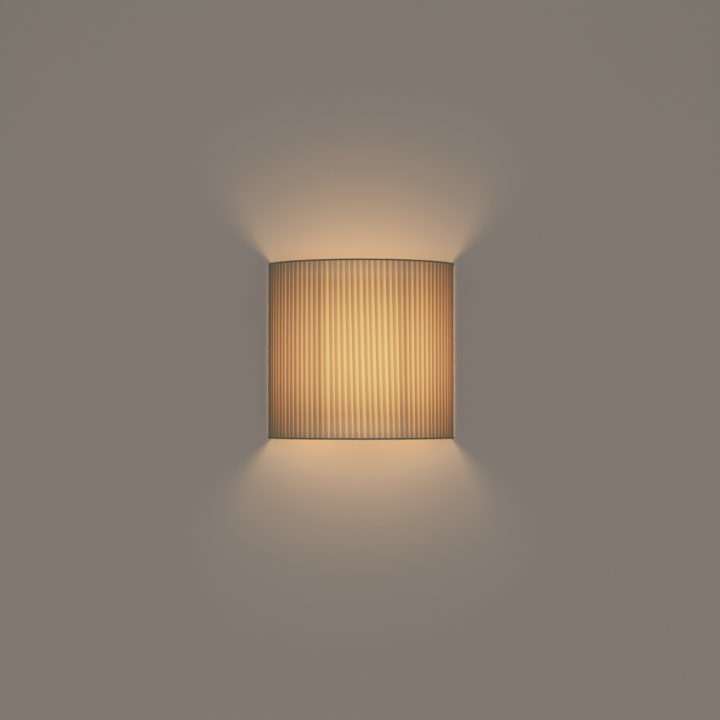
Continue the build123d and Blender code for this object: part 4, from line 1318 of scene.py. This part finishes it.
def bulb_lights(stage, wall, things):
    """The lamplight: the bulb's glow on the wall, the lit cloth's, and light on the fitting."""
    shade = [o for o in things if o.name.startswith(("pleated_", "turned_", "ribbon_"))]
    tint = stage.lamplight
    place = (BULB_AXIS.x, BULB_AXIS.y, WALL_GLOW_HEIGHT)
    glow = lamp("wall glow", stage.wall_glow, tint, place, WALL_GLOW_WIDTH, [wall], shade)
    fade_out(glow, stage.wall_reach)
    for number, (power, place) in enumerate(RIM_GLOWS, 1):
        thrown = lamp(f"rim glow {number}", power, tint, place, RIM_WIDTH, [wall], shade)
        fade_out(thrown, RIM_REACH)
        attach(thrown, "shade")

    low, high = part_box("bulb_globe")
    middle = high.z - (high.x - low.x) / 2
    place = (BULB_AXIS.x, BULB_AXIS.y, middle)
    inner = lamp("inner light", stage.inner_power, tint, place, INNER_WIDTH, things, things)
    tree = inner.data.node_tree
    falloff = add(tree, "ShaderNodeLightFalloff", {"Strength": 1.0, "Smooth": INNER_SMOOTH})
    tree.links.new(falloff.outputs["Quadratic"], tree.nodes["Emission"].inputs["Strength"])


def wall_and_floor(stage):
    """A wall that neither lights nor shades the pieces, and a floor."""
    reach, back, ground = BACKDROP_REACH, WALL_DEPTH, FLOOR_HEIGHT
    wall = stage_plane("wall", [
        (-reach, back, ground), (reach, back, ground), (reach, back, reach), (-reach, back, reach),
    ], plaster(stage))
    for ray in ("diffuse", "glossy", "transmission", "shadow"):
        setattr(wall, "visible_" + ray, False)
    paint, _, _ = painted("floor", stage.floor, 0.4, (0.98, 1.02), 0.8)
    floor = stage_plane("floor", [
        (-reach, -reach, ground), (reach, -reach, ground),
        (reach, reach, ground), (-reach, reach, ground),
    ], paint)
    return wall, floor


def studio_world(scene):
    """Weak light from all round, and a lighter backdrop to look at, also in reflections."""
    world = bpy.data.worlds.new("studio")
    scene.world = world
    world.use_nodes = True
    tree = world.node_tree
    ambient = tree.nodes["Background"]
    ambient.inputs["Color"].default_value = AMBIENT_TINT
    ambient.inputs["Strength"].default_value = AMBIENT_STRENGTH
    backdrop = add(tree, "ShaderNodeBackground", {
        "Color": hex_colour(BACKDROP_COLOUR) + [1.0], "Strength": 1.0})
    rays = add(tree, "ShaderNodeLightPath").outputs
    mirrored = add(
        tree, MATHS, rays["Is Glossy Ray"], rays["Is Transmission Ray"], operation="MAXIMUM")
    seen = add(tree, MATHS, rays["Is Camera Ray"], mirrored, operation="MAXIMUM")
    mixed = add(tree, "ShaderNodeMixShader", seen, ambient, backdrop)
    tree.links.new(mixed.outputs[0], tree.nodes["World Output"].inputs["Surface"])


def front_camera(scene, stage):
    """The camera that takes the photograph's view."""
    data = bpy.data.cameras.new("camera")
    data.lens = stage.lens
    data.sensor_width = SENSOR_WIDTH
    camera = bpy.data.objects.new("camera", data)
    camera.location = (CAMERA_ASIDE, -stage.camera_distance, CAMERA_HEIGHT)
    camera.rotation_euler = (math.radians(90 + CAMERA_TILT), 0, 0)
    scene.collection.objects.link(camera)
    scene.camera = camera


class WALLLIGHT_OT_stage(Operator):
    """Set up the wall, the floor, the lights and the camera"""

    bl_idname = "walllight.stage"
    bl_label = "Stage"

    def execute(self, context):
        scene, stage = context.scene, context.scene.stage_settings
        things = [o for o in scene.objects if o.type == "MESH"]
        wall, floor = wall_and_floor(stage)
        studio_world(scene)
        lit = {"wall": [wall], "pieces": things, "floor": [floor]}
        for name, power, width, place, receivers in SOFTBOXES:
            area_light(name, power, width, place, lit[receivers])
        bulb_lights(stage, wall, things)
        front_camera(scene, stage)
        scene.view_settings.view_transform = "Standard"
        return {"FINISHED"}


# ---- panel and registration ------------------------------------------------------------

OPERATORS = (
    WALLLIGHT_OT_cloth, WALLLIGHT_OT_hems, WALLLIGHT_OT_ribbons, WALLLIGHT_OT_stitches,
    WALLLIGHT_OT_threads, WALLLIGHT_OT_globe, WALLLIGHT_OT_finishes, WALLLIGHT_OT_stage,
)
SETTINGS = (
    ("shade_settings", ShadeSettings), ("glow_settings", GlowSettings),
    ("lamp_settings", LampSettings), ("stage_settings", StageSettings),
)


class WALLLIGHT_PT_panel(Panel):
    """Sidebar panel that lists the settings and the steps"""

    bl_label = "Wall Light"
    bl_idname = "WALLLIGHT_PT_panel"
    bl_space_type = "VIEW_3D"
    bl_region_type = "UI"
    bl_category = "Wall Light"

    def draw(self, context):
        for name, kind in SETTINGS:
            box = self.layout.box()
            box.label(text=kind.__doc__)
            for prop in kind.__annotations__:
                box.prop(getattr(context.scene, name), prop)
        for step in OPERATORS:
            self.layout.operator(step.bl_idname)


def register():
    """Register the settings, the steps and the panel."""
    for name, kind in SETTINGS:
        bpy.utils.register_class(kind)
        setattr(bpy.types.Scene, name, PointerProperty(type=kind))
    for kind in (*OPERATORS, WALLLIGHT_PT_panel):
        bpy.utils.register_class(kind)


def unregister():
    """Remove what register added."""
    for kind in (WALLLIGHT_PT_panel, *reversed(OPERATORS)):
        bpy.utils.unregister_class(kind)
    for name, kind in reversed(SETTINGS):
        delattr(bpy.types.Scene, name)
        bpy.utils.unregister_class(kind)


def main():
    """Make every piece and the stage."""
    register()
    bpy.ops.walllight.cloth()
    bpy.ops.walllight.hems()
    bpy.ops.walllight.ribbons()
    bpy.ops.walllight.stitches()
    bpy.ops.walllight.threads()
    bpy.ops.walllight.globe()
    bpy.ops.walllight.finishes()
    bpy.ops.walllight.stage()


if __name__ == "__main__":
    main()
